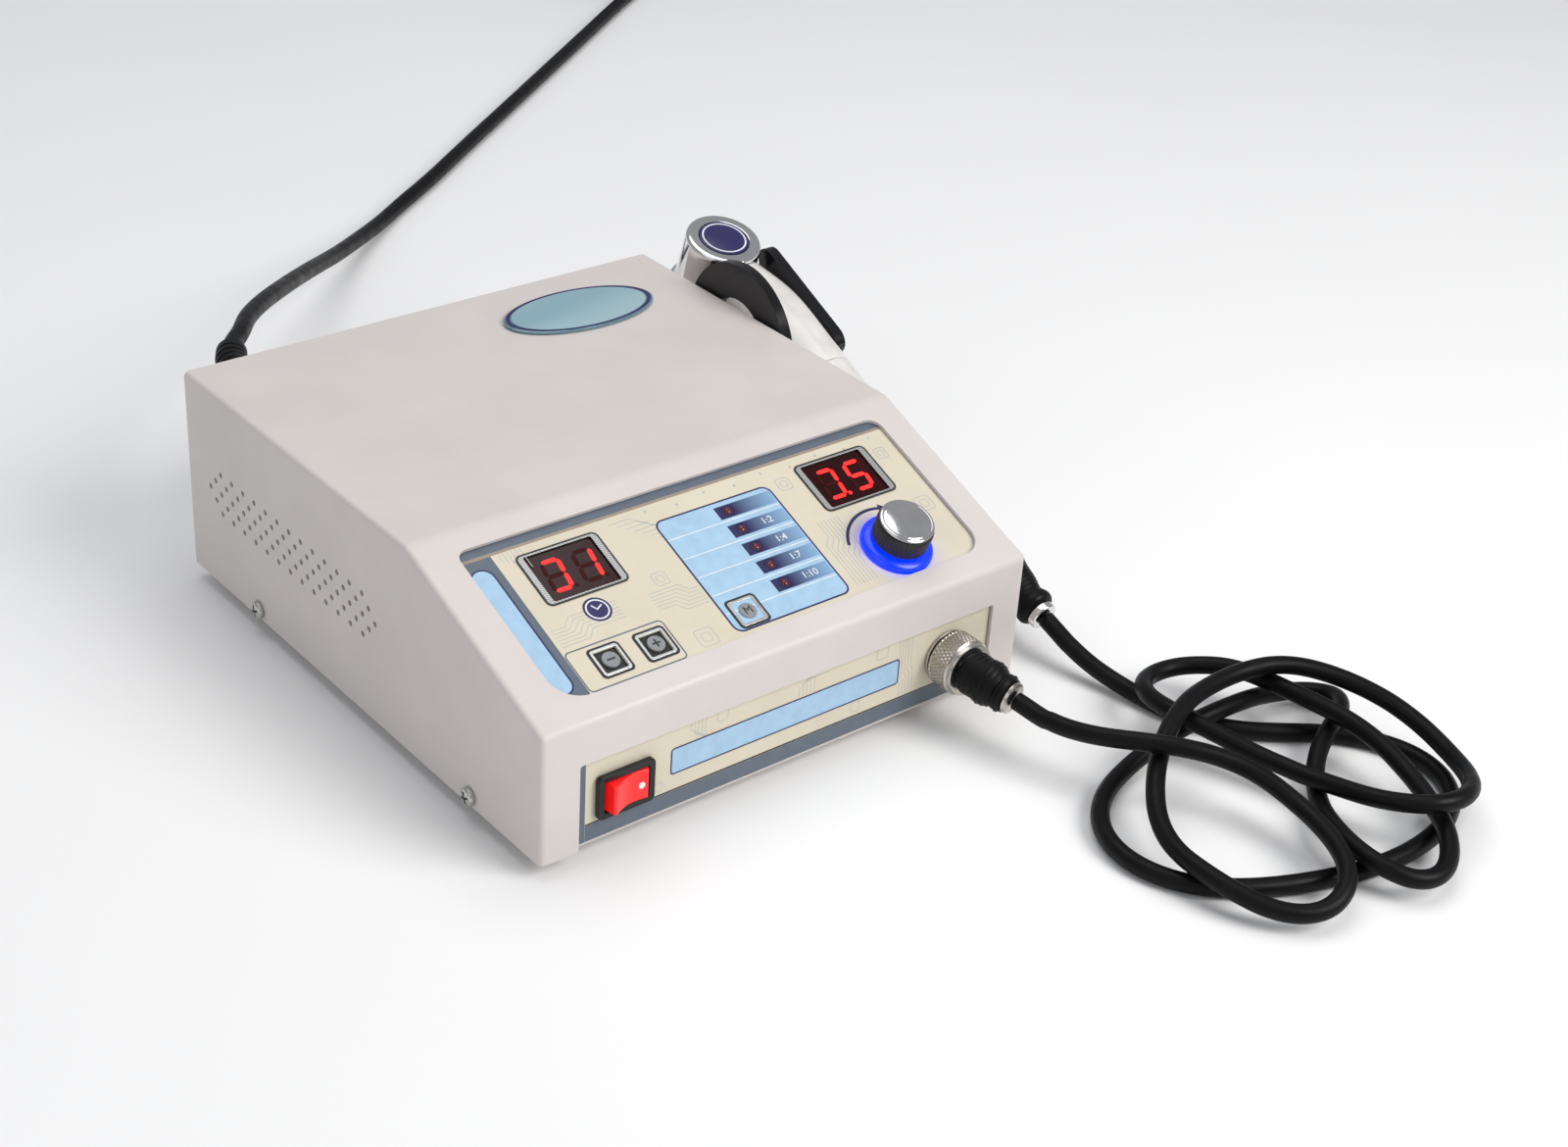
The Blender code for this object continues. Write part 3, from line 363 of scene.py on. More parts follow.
def glowing(name, colour, emission, strength, roughness=0.25, **sockets):
    made = Finish(name, colour, roughness, **sockets)
    made.mottled(0.15, 0.003)
    made.shader.inputs["Emission Color"].default_value = (*emission, 1)
    made.shader.inputs["Emission Strength"].default_value = strength
    return made.grained(0.0006, 0.00001, 0.4)


def knob_glow():
    """Lit blue resin whose tone drifts a little over its surface."""
    made = Finish("blue_glow", (0.0, 0.01, 0.5), 0.22, Specular_IOR_Level=0.5)
    fade = made.spread(made.noise(0.003, 3.0), 0, 1)
    made.paint(made.blend(fade, (0.0, 0.004, 0.4), (0.004, 0.02, 0.7)))
    made.shader.inputs["Emission Color"].default_value = (0.0, 0.012, 1.0, 1)
    made.shader.inputs["Emission Strength"].default_value = 3.0
    return made.grained(0.0006, 0.00001, 0.4)


def badge_film():
    """Pale blue print under clear resin, in slowly drifting tones."""
    made = Finish("badge_film", (0.30, 0.47, 0.54), 0.16, Coat_Weight=0.8, Coat_Roughness=0.05)
    drift = made.spread(made.noise(0.03, 1.0, (0.4, 1, 1)), 0, 1)
    made.paint(made.blend(drift, (0.24, 0.42, 0.50), (0.42, 0.58, 0.62)))
    return made.grained(0.003, 0.00002, 0.2)


def laminated():
    """Varnished transformer iron, with the edges of its stacked sheets."""
    made = Finish("transformer_iron", (0.09, 0.08, 0.07), 0.5, 0.3)
    sheets = made.noise(0.0012, 2.0, (0.02, 0.02, 1))
    made.paint(made.blend(made.spread(sheets, 0, 1), (0.05, 0.045, 0.04), (0.16, 0.14, 0.12)))
    return made.bump(sheets, 0.0002, 0.8)


def make_finishes():
    black = (0.006, 0.006, 0.007)
    rubber = moulded("black_rubber", (0.003, 0.003, 0.0035), 0.42, 0.0005, 0.00003,
                     Specular_IOR_Level=0.15)
    resin = Finish("badge_blue", (0.10, 0.20, 0.25), 0.12, Coat_Weight=1.0, Coat_Roughness=0.04)
    resin.mottled(0.06, 0.006).grained(0.004, 0.00002, 0.2)
    chrome = metal("chrome", (0.78, 0.77, 0.77), 0.09, depth=0.000002)
    board = moulded("circuit_board", (0.02, 0.13, 0.06), 0.4)
    patches = board.spread(board.noise(0.004, 3), 0, 1)
    board.paint(board.blend(patches, (0.01, 0.09, 0.04), (0.03, 0.17, 0.08)))
    return {
        "powder_coat": powder_coat(),
        "panel_film": film("panel_film", (0.68, 0.62, 0.49)),
        "zinc_plate": metal("zinc_plate", (0.55, 0.55, 0.53), 0.38, (1, 8, 1)),
        "screw_steel": metal("screw_steel", (0.58, 0.57, 0.55), 0.26),
        "alloy": metal("alloy", (0.70, 0.70, 0.71), 0.35, (1, 6, 1)),
        "nickel": metal("nickel", (0.50, 0.47, 0.43), 0.24),
        "chrome": chrome,
        "treatment_face": metal("treatment_face", (0.42, 0.42, 0.43), 0.16),
        "transformer_iron": laminated(),
        "brass": metal("brass", (0.65, 0.47, 0.20), 0.3),
        "black_rubber": rubber,
        "black_plastic": moulded("black_plastic", black, 0.2, 0.003, 0.000012, Specular_IOR_Level=0.35),
        "satin_black": moulded("satin_black", (0.008, 0.008, 0.009), 0.34, 0.0005, 0.00002),
        "lit_red_plastic": glowing("lit_red_plastic", (0.62, 0.008, 0.008), (1.0, 0.008, 0.006), 0.45),
        "display_black": moulded("display_black", (0.022, 0.001, 0.001), 0.1, 0.003, 0.00001,
                                 Specular_IOR_Level=0.25),
        "segment_off": moulded("segment_off", (0.045, 0.004, 0.004), 0.35, Specular_IOR_Level=0.1),
        "segment_lit": glowing("segment_lit", (0.8, 0.02, 0.02), (1.0, 0.014, 0.012), 3.0,
                               Specular_IOR_Level=0.1),
        "led_red": moulded("led_red", (0.12, 0.004, 0.004), 0.18, 0.001, 0.00001, Coat_Weight=0.3),
        "blue_glow": knob_glow(),
        "circuit_board": board,
        "badge_blue": resin,
        "handle_white": moulded("handle_white", (0.75, 0.73, 0.70), 0.22, 0.004, 0.00001, Coat_Weight=0.3),
        "label_navy": ink("label_navy", (0.02, 0.016, 0.10), 0.28),
        "badge_film": badge_film(),
        "piezo_ceramic": moulded("piezo_ceramic", (0.60, 0.52, 0.38), 0.5),
        "ink_slate": ink("ink_slate", (0.105, 0.135, 0.175)),
        "ink_brown": ink("ink_brown", (0.33, 0.25, 0.19)),
        "ink_sky": ink("ink_sky", (0.37, 0.56, 0.74)),
        "ink_navy": ink("ink_navy", (0.018, 0.015, 0.10)),
        "ink_white": ink("ink_white", (0.82, 0.83, 0.86)),
        "ink_black": ink("ink_black", (0.02, 0.02, 0.022)),
        "ink_trace": ink("ink_trace", (0.47, 0.48, 0.47)),
        "ink_grey": ink("ink_grey", (0.25, 0.26, 0.27)),
        "silver_hatch": hatched("silver_hatch", (0.62, 0.62, 0.60), (0.30, 0.30, 0.30), 0.0006),
        "silver_edge": metal("silver_edge", (0.66, 0.66, 0.65), 0.28),
    }


finishes = make_finishes()


# Geometry helpers


def piece(name, bm, finish, axes, body="case", replaces=(), smooth=35, bevel=0.0):
    """A closed mesh given in the millimetres of a local frame, riding on a CAD body."""
    bmesh.ops.recalc_face_normals(bm, faces=bm.faces)
    mesh = bpy.data.meshes.new(name)
    bm.to_mesh(mesh)
    bm.free()
    mesh.transform(axes)
    if axes.determinant() < 0:
        mesh.flip_normals()
    mesh.materials.append(finishes[finish].material)
    obj = bpy.data.objects.new(name, mesh)
    bpy.context.scene.collection.objects.link(obj)
    if bevel:
        edge = obj.modifiers.new("edge", "BEVEL")
        edge.width = bevel * MM
        edge.segments = 3
        edge.limit_method = "ANGLE"
        edge.angle_limit = math.radians(40)
    mesh.shade_smooth()
    mesh.set_sharp_from_angle(angle=math.radians(smooth))
    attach(obj, body)
    if replaces:
        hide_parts(*replaces)
    return obj


def helper_mesh(bm, axes):
    bmesh.ops.recalc_face_normals(bm, faces=bm.faces)
    mesh = bpy.data.meshes.new("helper")
    bm.to_mesh(mesh)
    bm.free()
    mesh.transform(axes)
    obj = bpy.data.objects.new("helper", mesh)
    bpy.context.scene.collection.objects.link(obj)
    return obj


def carved(obj, changes):
    """Applies Booleans, given as (operation, helper), to a piece and removes the helpers."""
    for operation, other in changes:
        modifier = obj.modifiers.new("boolean", "BOOLEAN")
        modifier.operation = operation
        modifier.object = other
        modifier.solver = "EXACT"
    bpy.context.view_layer.update()
    graph = bpy.context.evaluated_depsgraph_get()
    mesh = bpy.data.meshes.new_from_object(obj.evaluated_get(graph))
    old = obj.data
    obj.modifiers.clear()
    obj.data = mesh
    bpy.data.meshes.remove(old)
    for _, other in changes:
        bpy.data.objects.remove(other)
    mesh.shade_smooth()
    mesh.set_sharp_from_angle(angle=math.radians(35))
    return obj


def prism(outline, low, high, axis="Z", bm=None):
    """Outline extruded along a local axis. Along X its points are (y, z), along Y they are (x, z)."""
    place = {
        "X": lambda a, b, c: (c, a, b),
        "Y": lambda a, b, c: (a, c, b),
        "Z": lambda a, b, c: (a, b, c),
    }[axis]
    bm = bm or bmesh.new()
    under = [bm.verts.new(place(a, b, low)) for a, b in outline]
    over = [bm.verts.new(place(a, b, high)) for a, b in outline]
    bm.faces.new(under)
    bm.faces.new(over)
    for i in range(len(outline)):
        j = (i + 1) % len(outline)
        bm.faces.new((under[i], under[j], over[j], over[i]))
    return bm


def circle(radius, steps, centre=(0.0, 0.0), start=0.0):
    turns = [start + 2 * math.pi * i / steps for i in range(steps)]
    return [(centre[0] + radius * math.cos(a), centre[1] + radius * math.sin(a)) for a in turns]


def rounded(left, low, right, high, radius, steps=6):
    points = []
    corners = ((left, low, 180), (right, low, 270), (right, high, 0), (left, high, 90))
    for x, y, start in corners:
        inward = (radius if x == left else -radius, radius if y == low else -radius)
        for i in range(steps + 1):
            a = math.radians(start + 90 * i / steps)
            points.append((x + inward[0] + radius * math.cos(a), y + inward[1] + radius * math.sin(a)))
    return points


def ring_slab(outer, inner, low, high, bm=None):
    """Flat frame between two outlines with the same number of points."""
    bm = bm or bmesh.new()
    loops = [[bm.verts.new((x, y, z)) for x, y in o] for o in (outer, inner) for z in (low, high)]
    order = [loops[0], loops[1], loops[3], loops[2]]
    count = len(outer)
    for one, two in zip(order, order[1:] + order[:1]):
        for i in range(count):
            j = (i + 1) % count
            bm.faces.new((one[i], one[j], two[j], two[i]))
    return bm


def ribbon(points, width, low, high, bm=None, closed=False):
    """Printed line of one width along a polyline, mitred at its corners."""
    spots = [Vector(p) for p in points]
    count = len(spots)
    left, right = [], []
    for i, spot in enumerate(spots):
        before = spots[i - 1] if (i or closed) else spot
        after = spots[(i + 1) % count] if (i < count - 1 or closed) else spot
        one = (spot - before).normalized() if (spot - before).length > 1e-9 else None
        two = (after - spot).normalized() if (after - spot).length > 1e-9 else None
        along = ((one or two) + (two or one)).normalized()
        across = Vector((-along.y, along.x))
        mitre = 1.0 / max(0.5, along.dot(two or one))
        left.append(spot + across * width / 2 * mitre)
        right.append(spot - across * width / 2 * mitre)
    if closed:
        return ring_slab([tuple(p) for p in left], [tuple(p) for p in right], low, high, bm)
    return prism([tuple(p) for p in left + right[::-1]], low, high, bm=bm)


def turned(profile, steps=64, bm=None, ribs=None):
    """Solid of revolution about local Z from (radius, height) points, bottom to top. Ribs is a
    function of (radius, height, angle) that gives the radius there."""
    bm = bm or bmesh.new()
    rings = []
    for radius, height in profile:
        if radius < 1e-6:
            rings.append([bm.verts.new((0, 0, height))])
            continue
        ring = []
        for i in range(steps):
            a = 2 * math.pi * i / steps
            r = ribs(radius, height, a) if ribs else radius
            ring.append(bm.verts.new((r * math.cos(a), r * math.sin(a), height)))
        rings.append(ring)
    pairs = list(zip(rings, rings[1:]))
    if len(rings[0]) > 1 and len(rings[-1]) > 1:
        pairs.append((rings[-1], rings[0]))
    for one, two in pairs:
        if len(one) + len(two) == 2:
            continue
        for i in range(steps):
            j = (i + 1) % steps
            corners = [one[i % len(one)], one[j % len(one)], two[j % len(two)], two[i % len(two)]]
            bm.faces.new(list(dict.fromkeys(corners)))
    return bm


def softened(profile, size, steps=3):
    """Profile with its inner corners rounded off over a small length."""
    spots = [Vector(p) for p in profile]
    out = [tuple(spots[0])]
    for before, spot, after in zip(spots, spots[1:], spots[2:]):
        one, two = before - spot, after - spot
        if one.length < 1e-6 or two.length < 1e-6 or one.angle(two) > math.radians(176):
            out.append(tuple(spot))
            continue
        a = spot + one.normalized() * min(size, one.length * 0.45)
        b = spot + two.normalized() * min(size, two.length * 0.45)
        for i in range(steps + 1):
            t = i / steps
            out.append(tuple(a * (1 - t) ** 2 + spot * 2 * t * (1 - t) + b * t * t))
    out.append(tuple(spots[-1]))
    return out


def flowing(knots, step):
    """Smooth curve through (radius, height) knots, for a moulded shape."""
    return [tuple(p[:2]) for p in smooth_path([(r, h, 0.0) for r, h in knots], step)]


def evenly(points, step):
    """Points along a polyline, the given step apart, its two ends included."""
    points = np.asarray(points)
    run = np.concatenate([[0.0], np.cumsum(np.linalg.norm(np.diff(points, axis=0), axis=1))])
    stops = np.linspace(0, run[-1], max(2, round(run[-1] / step) + 1))
    return np.stack([np.interp(stops, run, points[:, k]) for k in range(3)], axis=1)


def smooth_path(points, step):
    """Points a step apart on the natural cubic spline through the given points."""
    p = np.array(points, float)
    t = np.concatenate([[0.0], np.cumsum(np.linalg.norm(np.diff(p, axis=0), axis=1))])
    h = np.diff(t)
    n = len(p)
    matrix, rhs = np.eye(n), np.zeros((n, 3))
    for i in range(1, n - 1):
        matrix[i, i - 1 : i + 2] = h[i - 1], 2 * (h[i - 1] + h[i]), h[i]
        rhs[i] = 6 * ((p[i + 1] - p[i]) / h[i] - (p[i] - p[i - 1]) / h[i - 1])
    bend = np.linalg.solve(matrix, rhs)
    fine = []
    for i in range(n - 1):
        for b in np.linspace(0, 1, 12, endpoint=False):
            a = 1 - b
            curve = (a**3 - a) * bend[i] + (b**3 - b) * bend[i + 1]
            fine.append(a * p[i] + b * p[i + 1] + curve * h[i] ** 2 / 6)
    return evenly([*fine, p[-1]], step)


def relaxed(path, reach=16):
    """The path smoothed over a short reach, as a springy cord lies, with its ends left in place."""
    window = np.concatenate([np.arange(1, reach + 1), np.arange(reach - 1, 0, -1)]) / reach**2

    def once(p):
        padded = np.pad(p, ((reach - 1, reach - 1), (0, 0)), "edge")
        return np.stack([np.convolve(padded[:, k], window, "valid") for k in range(3)], axis=1)

    smooth = once(path)
    smooth = 2 * smooth - once(smooth)
    near_end = np.minimum(np.arange(len(path)), np.arange(len(path))[::-1])
    share = np.clip((near_end - 3) / reach, 0, 1)[:, None]
    return path * (1 - share) + smooth * share


def laid_over(path, spacing, lowest):
    """The path lifted in long low humps where it crosses a stretch of itself that was laid before."""
    out = path.copy()
    step = np.linalg.norm(path[1] - path[0])
    places = np.arange(len(path)) * step
    apart = int(3 * spacing / step)
    for i in list(range(apart, len(path))) * 3:
        reach = np.linalg.norm(path[: i - apart + 1, :2] - path[i, :2], axis=1)
        near = np.nonzero(reach < spacing)[0]
        if len(near) == 0:
            continue
        need = (out[near, 2] + np.sqrt(spacing**2 - reach[near] ** 2)).max()
        if need > out[i, 2]:
            hump = need - HUMP_RISE * (np.hypot(1, (places - places[i]) / HUMP_LENGTH) - 1)
            out[:, 2] = np.maximum(out[:, 2], hump)
    rounded_off = np.convolve(np.pad(out[:, 2], 7, "edge"), np.ones(15) / 15, "valid")
    out[7:-7, 2] = rounded_off[7:-7]
    out[:, 2] = np.maximum(out[:, 2], lowest)
    return out


def swept(path, radii, steps=24, bm=None):
    """Round bar through the points of a path, with its own radius at each and flat ends. The
    ring's up direction is carried along the path, so that the bar doesn't twist."""
    bm = bm or bmesh.new()
    points = [Vector(p) for p in path]
    rings = []
    up = Vector((0, 0, 1))
    for i, (point, radius) in enumerate(zip(points, radii)):
        along = (points[min(i + 1, len(points) - 1)] - points[max(i - 1, 0)]).normalized()
        side = along.cross(up)
        if side.length < 1e-3:
            side = along.cross(Vector((0, 1, 0)))
        side.normalize()
        up = side.cross(along)
        spots = [point + side * x + up * y for x, y in circle(radius, steps)]
        rings.append([bm.verts.new(spot) for spot in spots])
    for one, two in zip(rings, rings[1:]):
        for i in range(steps):
            j = (i + 1) % steps
            bm.faces.new((one[i], one[j], two[j], two[i]))
    bm.faces.new(rings[0])
    bm.faces.new(rings[-1])
    return bm


# Cords


def add_handpiece_cable():
    """The handpiece's cable, lying in loose loops in front of the case."""
    path = laid_over(relaxed(smooth_path(CABLE_ROUTE, 2.0)), CABLE + 1.0, CABLE / 2 + 0.1)
    bm = swept(path, [CABLE / 2 - 0.05] * len(path), 20)
    mesh = bpy.data.meshes.new("handpiece_cord")
    bmesh.ops.recalc_face_normals(bm, faces=bm.faces)
    bm.to_mesh(mesh)
    bm.free()
    mesh.transform(CASE)
    mesh.materials.append(finishes["black_rubber"].material)
    mesh.shade_smooth()
    obj = bpy.data.objects.new("handpiece_cord", mesh)
    bpy.context.scene.collection.objects.link(obj)
    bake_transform(obj)
    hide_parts("handpiece_cable")


def coil_turns():
    """The put-away length: two turns side by side in a layer, three layers on each other."""
    entry = math.radians(-54)
    layers = (3.5, 10.4, 17.2)
    inner, outer = COIL_RADII
    stations = [
        (0.0, outer, layers[0]), (0.82, outer, layers[0]), (1.0, inner, layers[0]),
        (1.75, inner, layers[0]), (1.95, inner, layers[1]), (2.6, inner, layers[1]),
        (2.85, outer, layers[1]), (3.45, outer, layers[1]), (3.65, outer, layers[2]),
        (4.45, outer, layers[2]),
    ]
    turns = np.arange(0, stations[-1][0], 1 / 28)
    radii = np.interp(turns, [s[0] for s in stations], [s[1] for s in stations])
    heights = np.interp(turns, [s[0] for s in stations], [s[2] for s in stations])
    angles = entry + 2 * math.pi * turns
    x = COIL_CENTRE[0] + radii * np.cos(angles)
    y = COIL_CENTRE[1] + radii * np.sin(angles)
    return list(zip(x, y, heights))


def add_mains_cord():
    """The mains cord: from its gland down to the table, along it, and into a coil with its plug."""
    path = smooth_path([*MAINS_ROUTE[:-1], *coil_turns(), *PLUG_LEAD], 3.0)
    bm = swept(path, [MAINS / 2 - 0.05] * len(path), 20)
    obj = piece("mains_lead", bm, "black_rubber", CASE, "case", ("mains_cord", "mains_coil"))
    add_mains_plug()


def add_mains_plug():
    """Two-pin plug: a tapered body with grip ribs, and its pins."""
    axes = axes_at((470.2, 703.0, 16.0), (-1, 1, 0), (0, 0, 1))
    knots = [(5.0, 0.0), (5.6, 6.0), (6.6, 13.0), (8.4, 17.5), (12.2, 23.0), (14.6, 31.0), (15.3, 43.0)]
    profile = [(0, 0), *flowing(knots, 0.8), *softened([(15.3, 43.4), (15.0, 50), (0, 50)], 1.2)]

    def ribs(radius, height, angle):
        if 1.5 < height < 15:
            return radius - 0.5 * (math.sin(height * 2 * math.pi / 3.2) > 0.3)
        if 24 < height < 42:
            return radius - 0.35 * max(0.0, math.cos(angle * 12)) * abs(math.cos(angle))
        return radius

    bm = turned(profile, 72, ribs=ribs)
    plug = piece("plug_body", bm, "satin_black", axes, "case", ("mains_plug",))
    for x in (-9.5, 9.5):
        pin = turned(softened([(0, 49.5), (2.4, 49.5), (2.4, 67), (1.4, 69), (0, 69)], 0.6), 24)
        name = "plug_pin_a" if x < 0 else "plug_pin_b"
        shank = piece(name, pin, "nickel", shifted(axes, x, 0))
        shank.parent = plug
    return plug


add_camera()
add_handpiece_cable()
add_mains_cord()


# Case


def case_outline(inset=0.0, rear=0.0, below=0.0):
    """Side view of the case as (y, z), moved inwards by inset and run past its open edges."""
    shift = inset * math.tan((math.pi / 2 - SLOPE_ANGLE) / 2)
    fold = inset * math.tan(SLOPE_ANGLE / 2)
    return [
        (inset, FOOT - below), (inset, TOP - SLOPE_RISE - shift), (SLOPE_RUN + fold, TOP - inset),
        (DEPTH + rear, TOP - inset), (DEPTH + rear, FOOT - below),
    ]


def bent_shell(half_width, outline, radius, segments):
    """Outline extruded across the case, with its folded edges rounded."""
    bm = prism(outline, -half_width, half_width, "X")
    folds = set(outline[1:3])
    front = set(outline[0:4])

    def is_fold(edge):
        spots = [Vector((v.co.y, v.co.z)) for v in edge.verts]
        wanted = folds if (spots[0] - spots[1]).length < 1e-4 else front
        return all(any((spot - Vector(f)).length < 1e-3 for f in wanted) for spot in spots)

    edges = [e for e in bm.edges if is_fold(e)]
    bmesh.ops.bevel(bm, geom=edges, offset=radius, segments=segments, affect="EDGES", profile=0.5)
    return bm


def add_cover():
    """The painted sheet cover, with its windows, ventilation holes and screw holes."""
    shell = piece("cover_shell", bent_shell(HALF, case_outline(), BEND, 8), "powder_coat", CASE,
                  "case", ("cover",))
    holes = bmesh.new()
    for row, count in enumerate(VENT_ROWS):
        z = VENT_MIDDLE[1] + (row - 2) * VENT_ROW_PITCH
        for i in range(count):
            spot = (VENT_MIDDLE[0] + (i - (count - 1) / 2) * VENT_PITCH, z)
            prism(circle(VENT_RADIUS, 20, spot), -HALF - 2, -HALF + 8, "X", holes)
            prism(circle(VENT_RADIUS, 20, spot), HALF - 8, HALF + 2, "X", holes)
    for name in ("case_screw_left_front", "case_screw_left_rear"):
        low, high = extent(name, CASE)
        spot = ((low[1] + high[1]) / 2, (low[2] + high[2]) / 2)
        prism(circle(1.8, 20, spot), -HALF - 2, -HALF + 8, "X", holes)
        prism(circle(1.8, 20, spot), HALF - 8, HALF + 2, "X", holes)
    inside = bent_shell(HALF - SHEET, case_outline(SHEET, 5, 5), BEND - SHEET, 4)
    window = prism(window_outline(), -8, 4)
    mouth = prism(rounded(-81.4, -4, 82.2, 30.6, 0.8), -8, 4)
    carved(shell, [
        ("DIFFERENCE", helper_mesh(window, SLOPE)), ("DIFFERENCE", helper_mesh(mouth, FRONT)),
        ("DIFFERENCE", helper_mesh(holes, CASE)), ("DIFFERENCE", helper_mesh(inside, CASE)),
    ])


def window_outline():
    """The window over the control panel: its lower left corner is rounder than the others."""
    left, low, right, high = -82.0, 8.7, 83.5, 70.4
    points = []
    corners = ((left, low, 180, 10), (right, low, 270, 8), (right, high, 0, 5), (left, high, 90, 4))
    for x, y, start, r in corners:
        middle = (x + (r if x == left else -r), y + (r if y == low else -r))
        for i in range(13):
            a = math.radians(start + 7.5 * i)
            points.append((middle[0] + r * math.cos(a), middle[1] + r * math.sin(a)))
    return points


def add_screws():
    """Pan-head screws with a cross recess. Those in the cradle sit inside the case."""
    for name in [n for n in frame["nodes"] if n.startswith(("case_screw", "cradle_screw"))]:
        low, high = extent(name, CASE)
        out = 1 if "right" in name else -1
        # A cradle screw's head is inside the case, and its tip points outwards.
        face = (-1 if "cradle" in name else 1) * (1 if "cradle" in name else out)
        head = low[0] if face < 0 else high[0]
        origin = (head - face * 2.0, (low[1] + high[1]) / 2, (low[2] + high[2]) / 2)
        axes = axes_at(origin, (0, face, 0), (0, 0, 1))
        head_curve = [(3.1 * math.cos(a), 0.8 + 1.2 * math.sin(a)) for a in np.radians(range(0, 91, 10))]
        shank = [(1.4 if i % 2 else 1.15, -4.0 + 0.35 * i) for i in range(11)]
        profile = [(0, -4.6), *shank, (1.4, 0), (3.1, 0), *head_curve[:-1], (0, 2.0)]
        screw = piece(name + "_detail", turned(profile, 40), "screw_steel", axes, "case", (name,))
        quarter = [(0.42, -2.0), (0.42, -0.42), (2.0, -0.42)]
        cross = [(x * c - y * s, x * s + y * c)
                 for c, s in ((1, 0), (0, 1), (-1, 0), (0, -1)) for x, y in quarter]
        slots = helper_mesh(prism(cross, 0.7, 3), axes @ Matrix.Rotation(math.radians(20), 4, "Z"))
        carved(screw, [("DIFFERENCE", slots)])


def add_feet():
    for i in range(1, 5):
        name = f"rubber_foot_{i}"
        low, high = extent(name, CASE)
        axes = shifted(CASE, (low[0] + high[0]) / 2, (low[1] + high[1]) / 2)
        profile = softened([(0, 0), (6.4, 0), (7.2, 0.8), (8.0, high[2]), (0, high[2])], 0.7)
        piece(f"foot_{i}", turned(profile, 48), "black_rubber", axes, "case", (name,))


def add_badge():
    """Oval badge: a blank printed plate under a clear dome."""
    low, high = extent("top_badge", CASE)
    middle = ((low[0] + high[0]) / 2, (low[1] + high[1]) / 2, low[2])
    turn = math.radians(-2)
    axes = axes_at(middle, (math.cos(turn), math.sin(turn), 0), (-math.sin(turn), math.cos(turn), 0))
    wide, deep = 29.9, 15.4
    stretch = axes @ Matrix.Diagonal((wide, deep, 1, 1))
    rim = [(0, 0), (1.0, 0), (1.0, 0.7), (0.985, 0.95), (0.95, 1.05), (0, 1.05)]
    piece("badge_plate", turned(rim, 96), "badge_blue", stretch, "case", ("top_badge",))
    edging = ring_slab(circle(0.97, 96), circle(0.92, 96), 1.05, 1.12)
    piece("badge_line", edging, "ink_navy", stretch, smooth=60)
    dome = [(0, 1.04), (0.90, 1.04), (0.90, 1.12), (0.90 * 0.8, 1.26), (0.90 * 0.45, 1.36), (0, 1.39)]
    piece("badge_core", turned(dome, 96), "badge_film", stretch, smooth=60)


add_cover()
add_screws()
add_feet()
add_badge()


# Printing on the panels. Each colour is a thin layer, laid a little higher than the one under it.


def printed(name, shapes, finish, axes, layer, body="case"):
    """One layer of ink, from calls that each add their shape to a mesh between two heights."""
    low = FILM_TOP + INK * layer
    bm = bmesh.new()
    for add in shapes:
        add(bm, low, low + INK)
    return piece(name, bm, finish, axes, body, smooth=10)


def area(outline):
    return lambda bm, low, high: prism(outline, low, high, bm=bm)


def line(points, width, closed=False):
    return lambda bm, low, high: ribbon(points, width, low, high, bm, closed)


def band(left, low, right, high, radius=0.0):
    if radius:
        return area(rounded(left, low, right, high, radius))
    return area([(left, low), (right, low), (right, high), (left, high)])


def arc(centre, radius, start, end, steps=40):
    angles = [math.radians(start + (end - start) * i / steps) for i in range(steps + 1)]
    return [(centre[0] + radius * math.cos(a), centre[1] + radius * math.sin(a)) for a in angles]


def chip(u, v, size, corner, width):
    """Square outline about a place, as a line wound the way ring_slab needs."""
    half = size / 2
    return line(rounded(u - half, v - half, u + half, v + half, corner, 3)[::-1], width, True)


def circuit_traces():
    """Faint circuit-board pattern of the film: runs with 45 degree bends, pads and chip outlines."""
    shapes = []
    for i in range(7):
        v = 63.5 - 1.7 * i
        run = 2.2 * i
        bends = [(-30 + run, v), (-22 + run, v), (-19 + run, v - 3), (-16, v - 3 - 0.2 * i)]
        shapes.append(line(bends, 0.28))
        u = 33.0 + 1.35 * i
        shapes.append(line([(u, 12.5), (u, 30.0 - 1.2 * i), (u + 3, 33.0 - 1.2 * i), (u + 3, 39.5)], 0.28))
    for i in range(6):
        u = -69.0 + 1.5 * i
        shapes.append(line([(u, 62.8 - i), (u, 66.0)], 0.26))
        v = 27.5 + 1.3 * i
        shapes.append(line([(-70.0, v), (-60.0 - i, v), (-57.0 - i, v + 3), (-45.0, v + 3)], 0.26))
        shapes.append(line([(-34.0, v + 1), (-28.0 + i, v + 1), (-25.0 + i, v - 2), (-17.0, v - 2)], 0.26))
    chips = ((35.5, 57.5, 5.0), (77.0, 33.0, 6.0), (-26.0, 14.0, 6.5), (76.5, 57.0, 4.5), (-26.5, 39.0, 5.0))
    for u, v, size in chips:
        shapes.append(chip(u, v, size, 1.0, 0.3))
        shapes.append(chip(u, v, size / 2, 0.6, 0.25))
    for i in range(9):
        spot = (-15.5 + 11.5 * i, 64.2 - 1.2 * (i % 2))
        shapes.append(area(circle(0.55, 14, spot)))
    return shapes


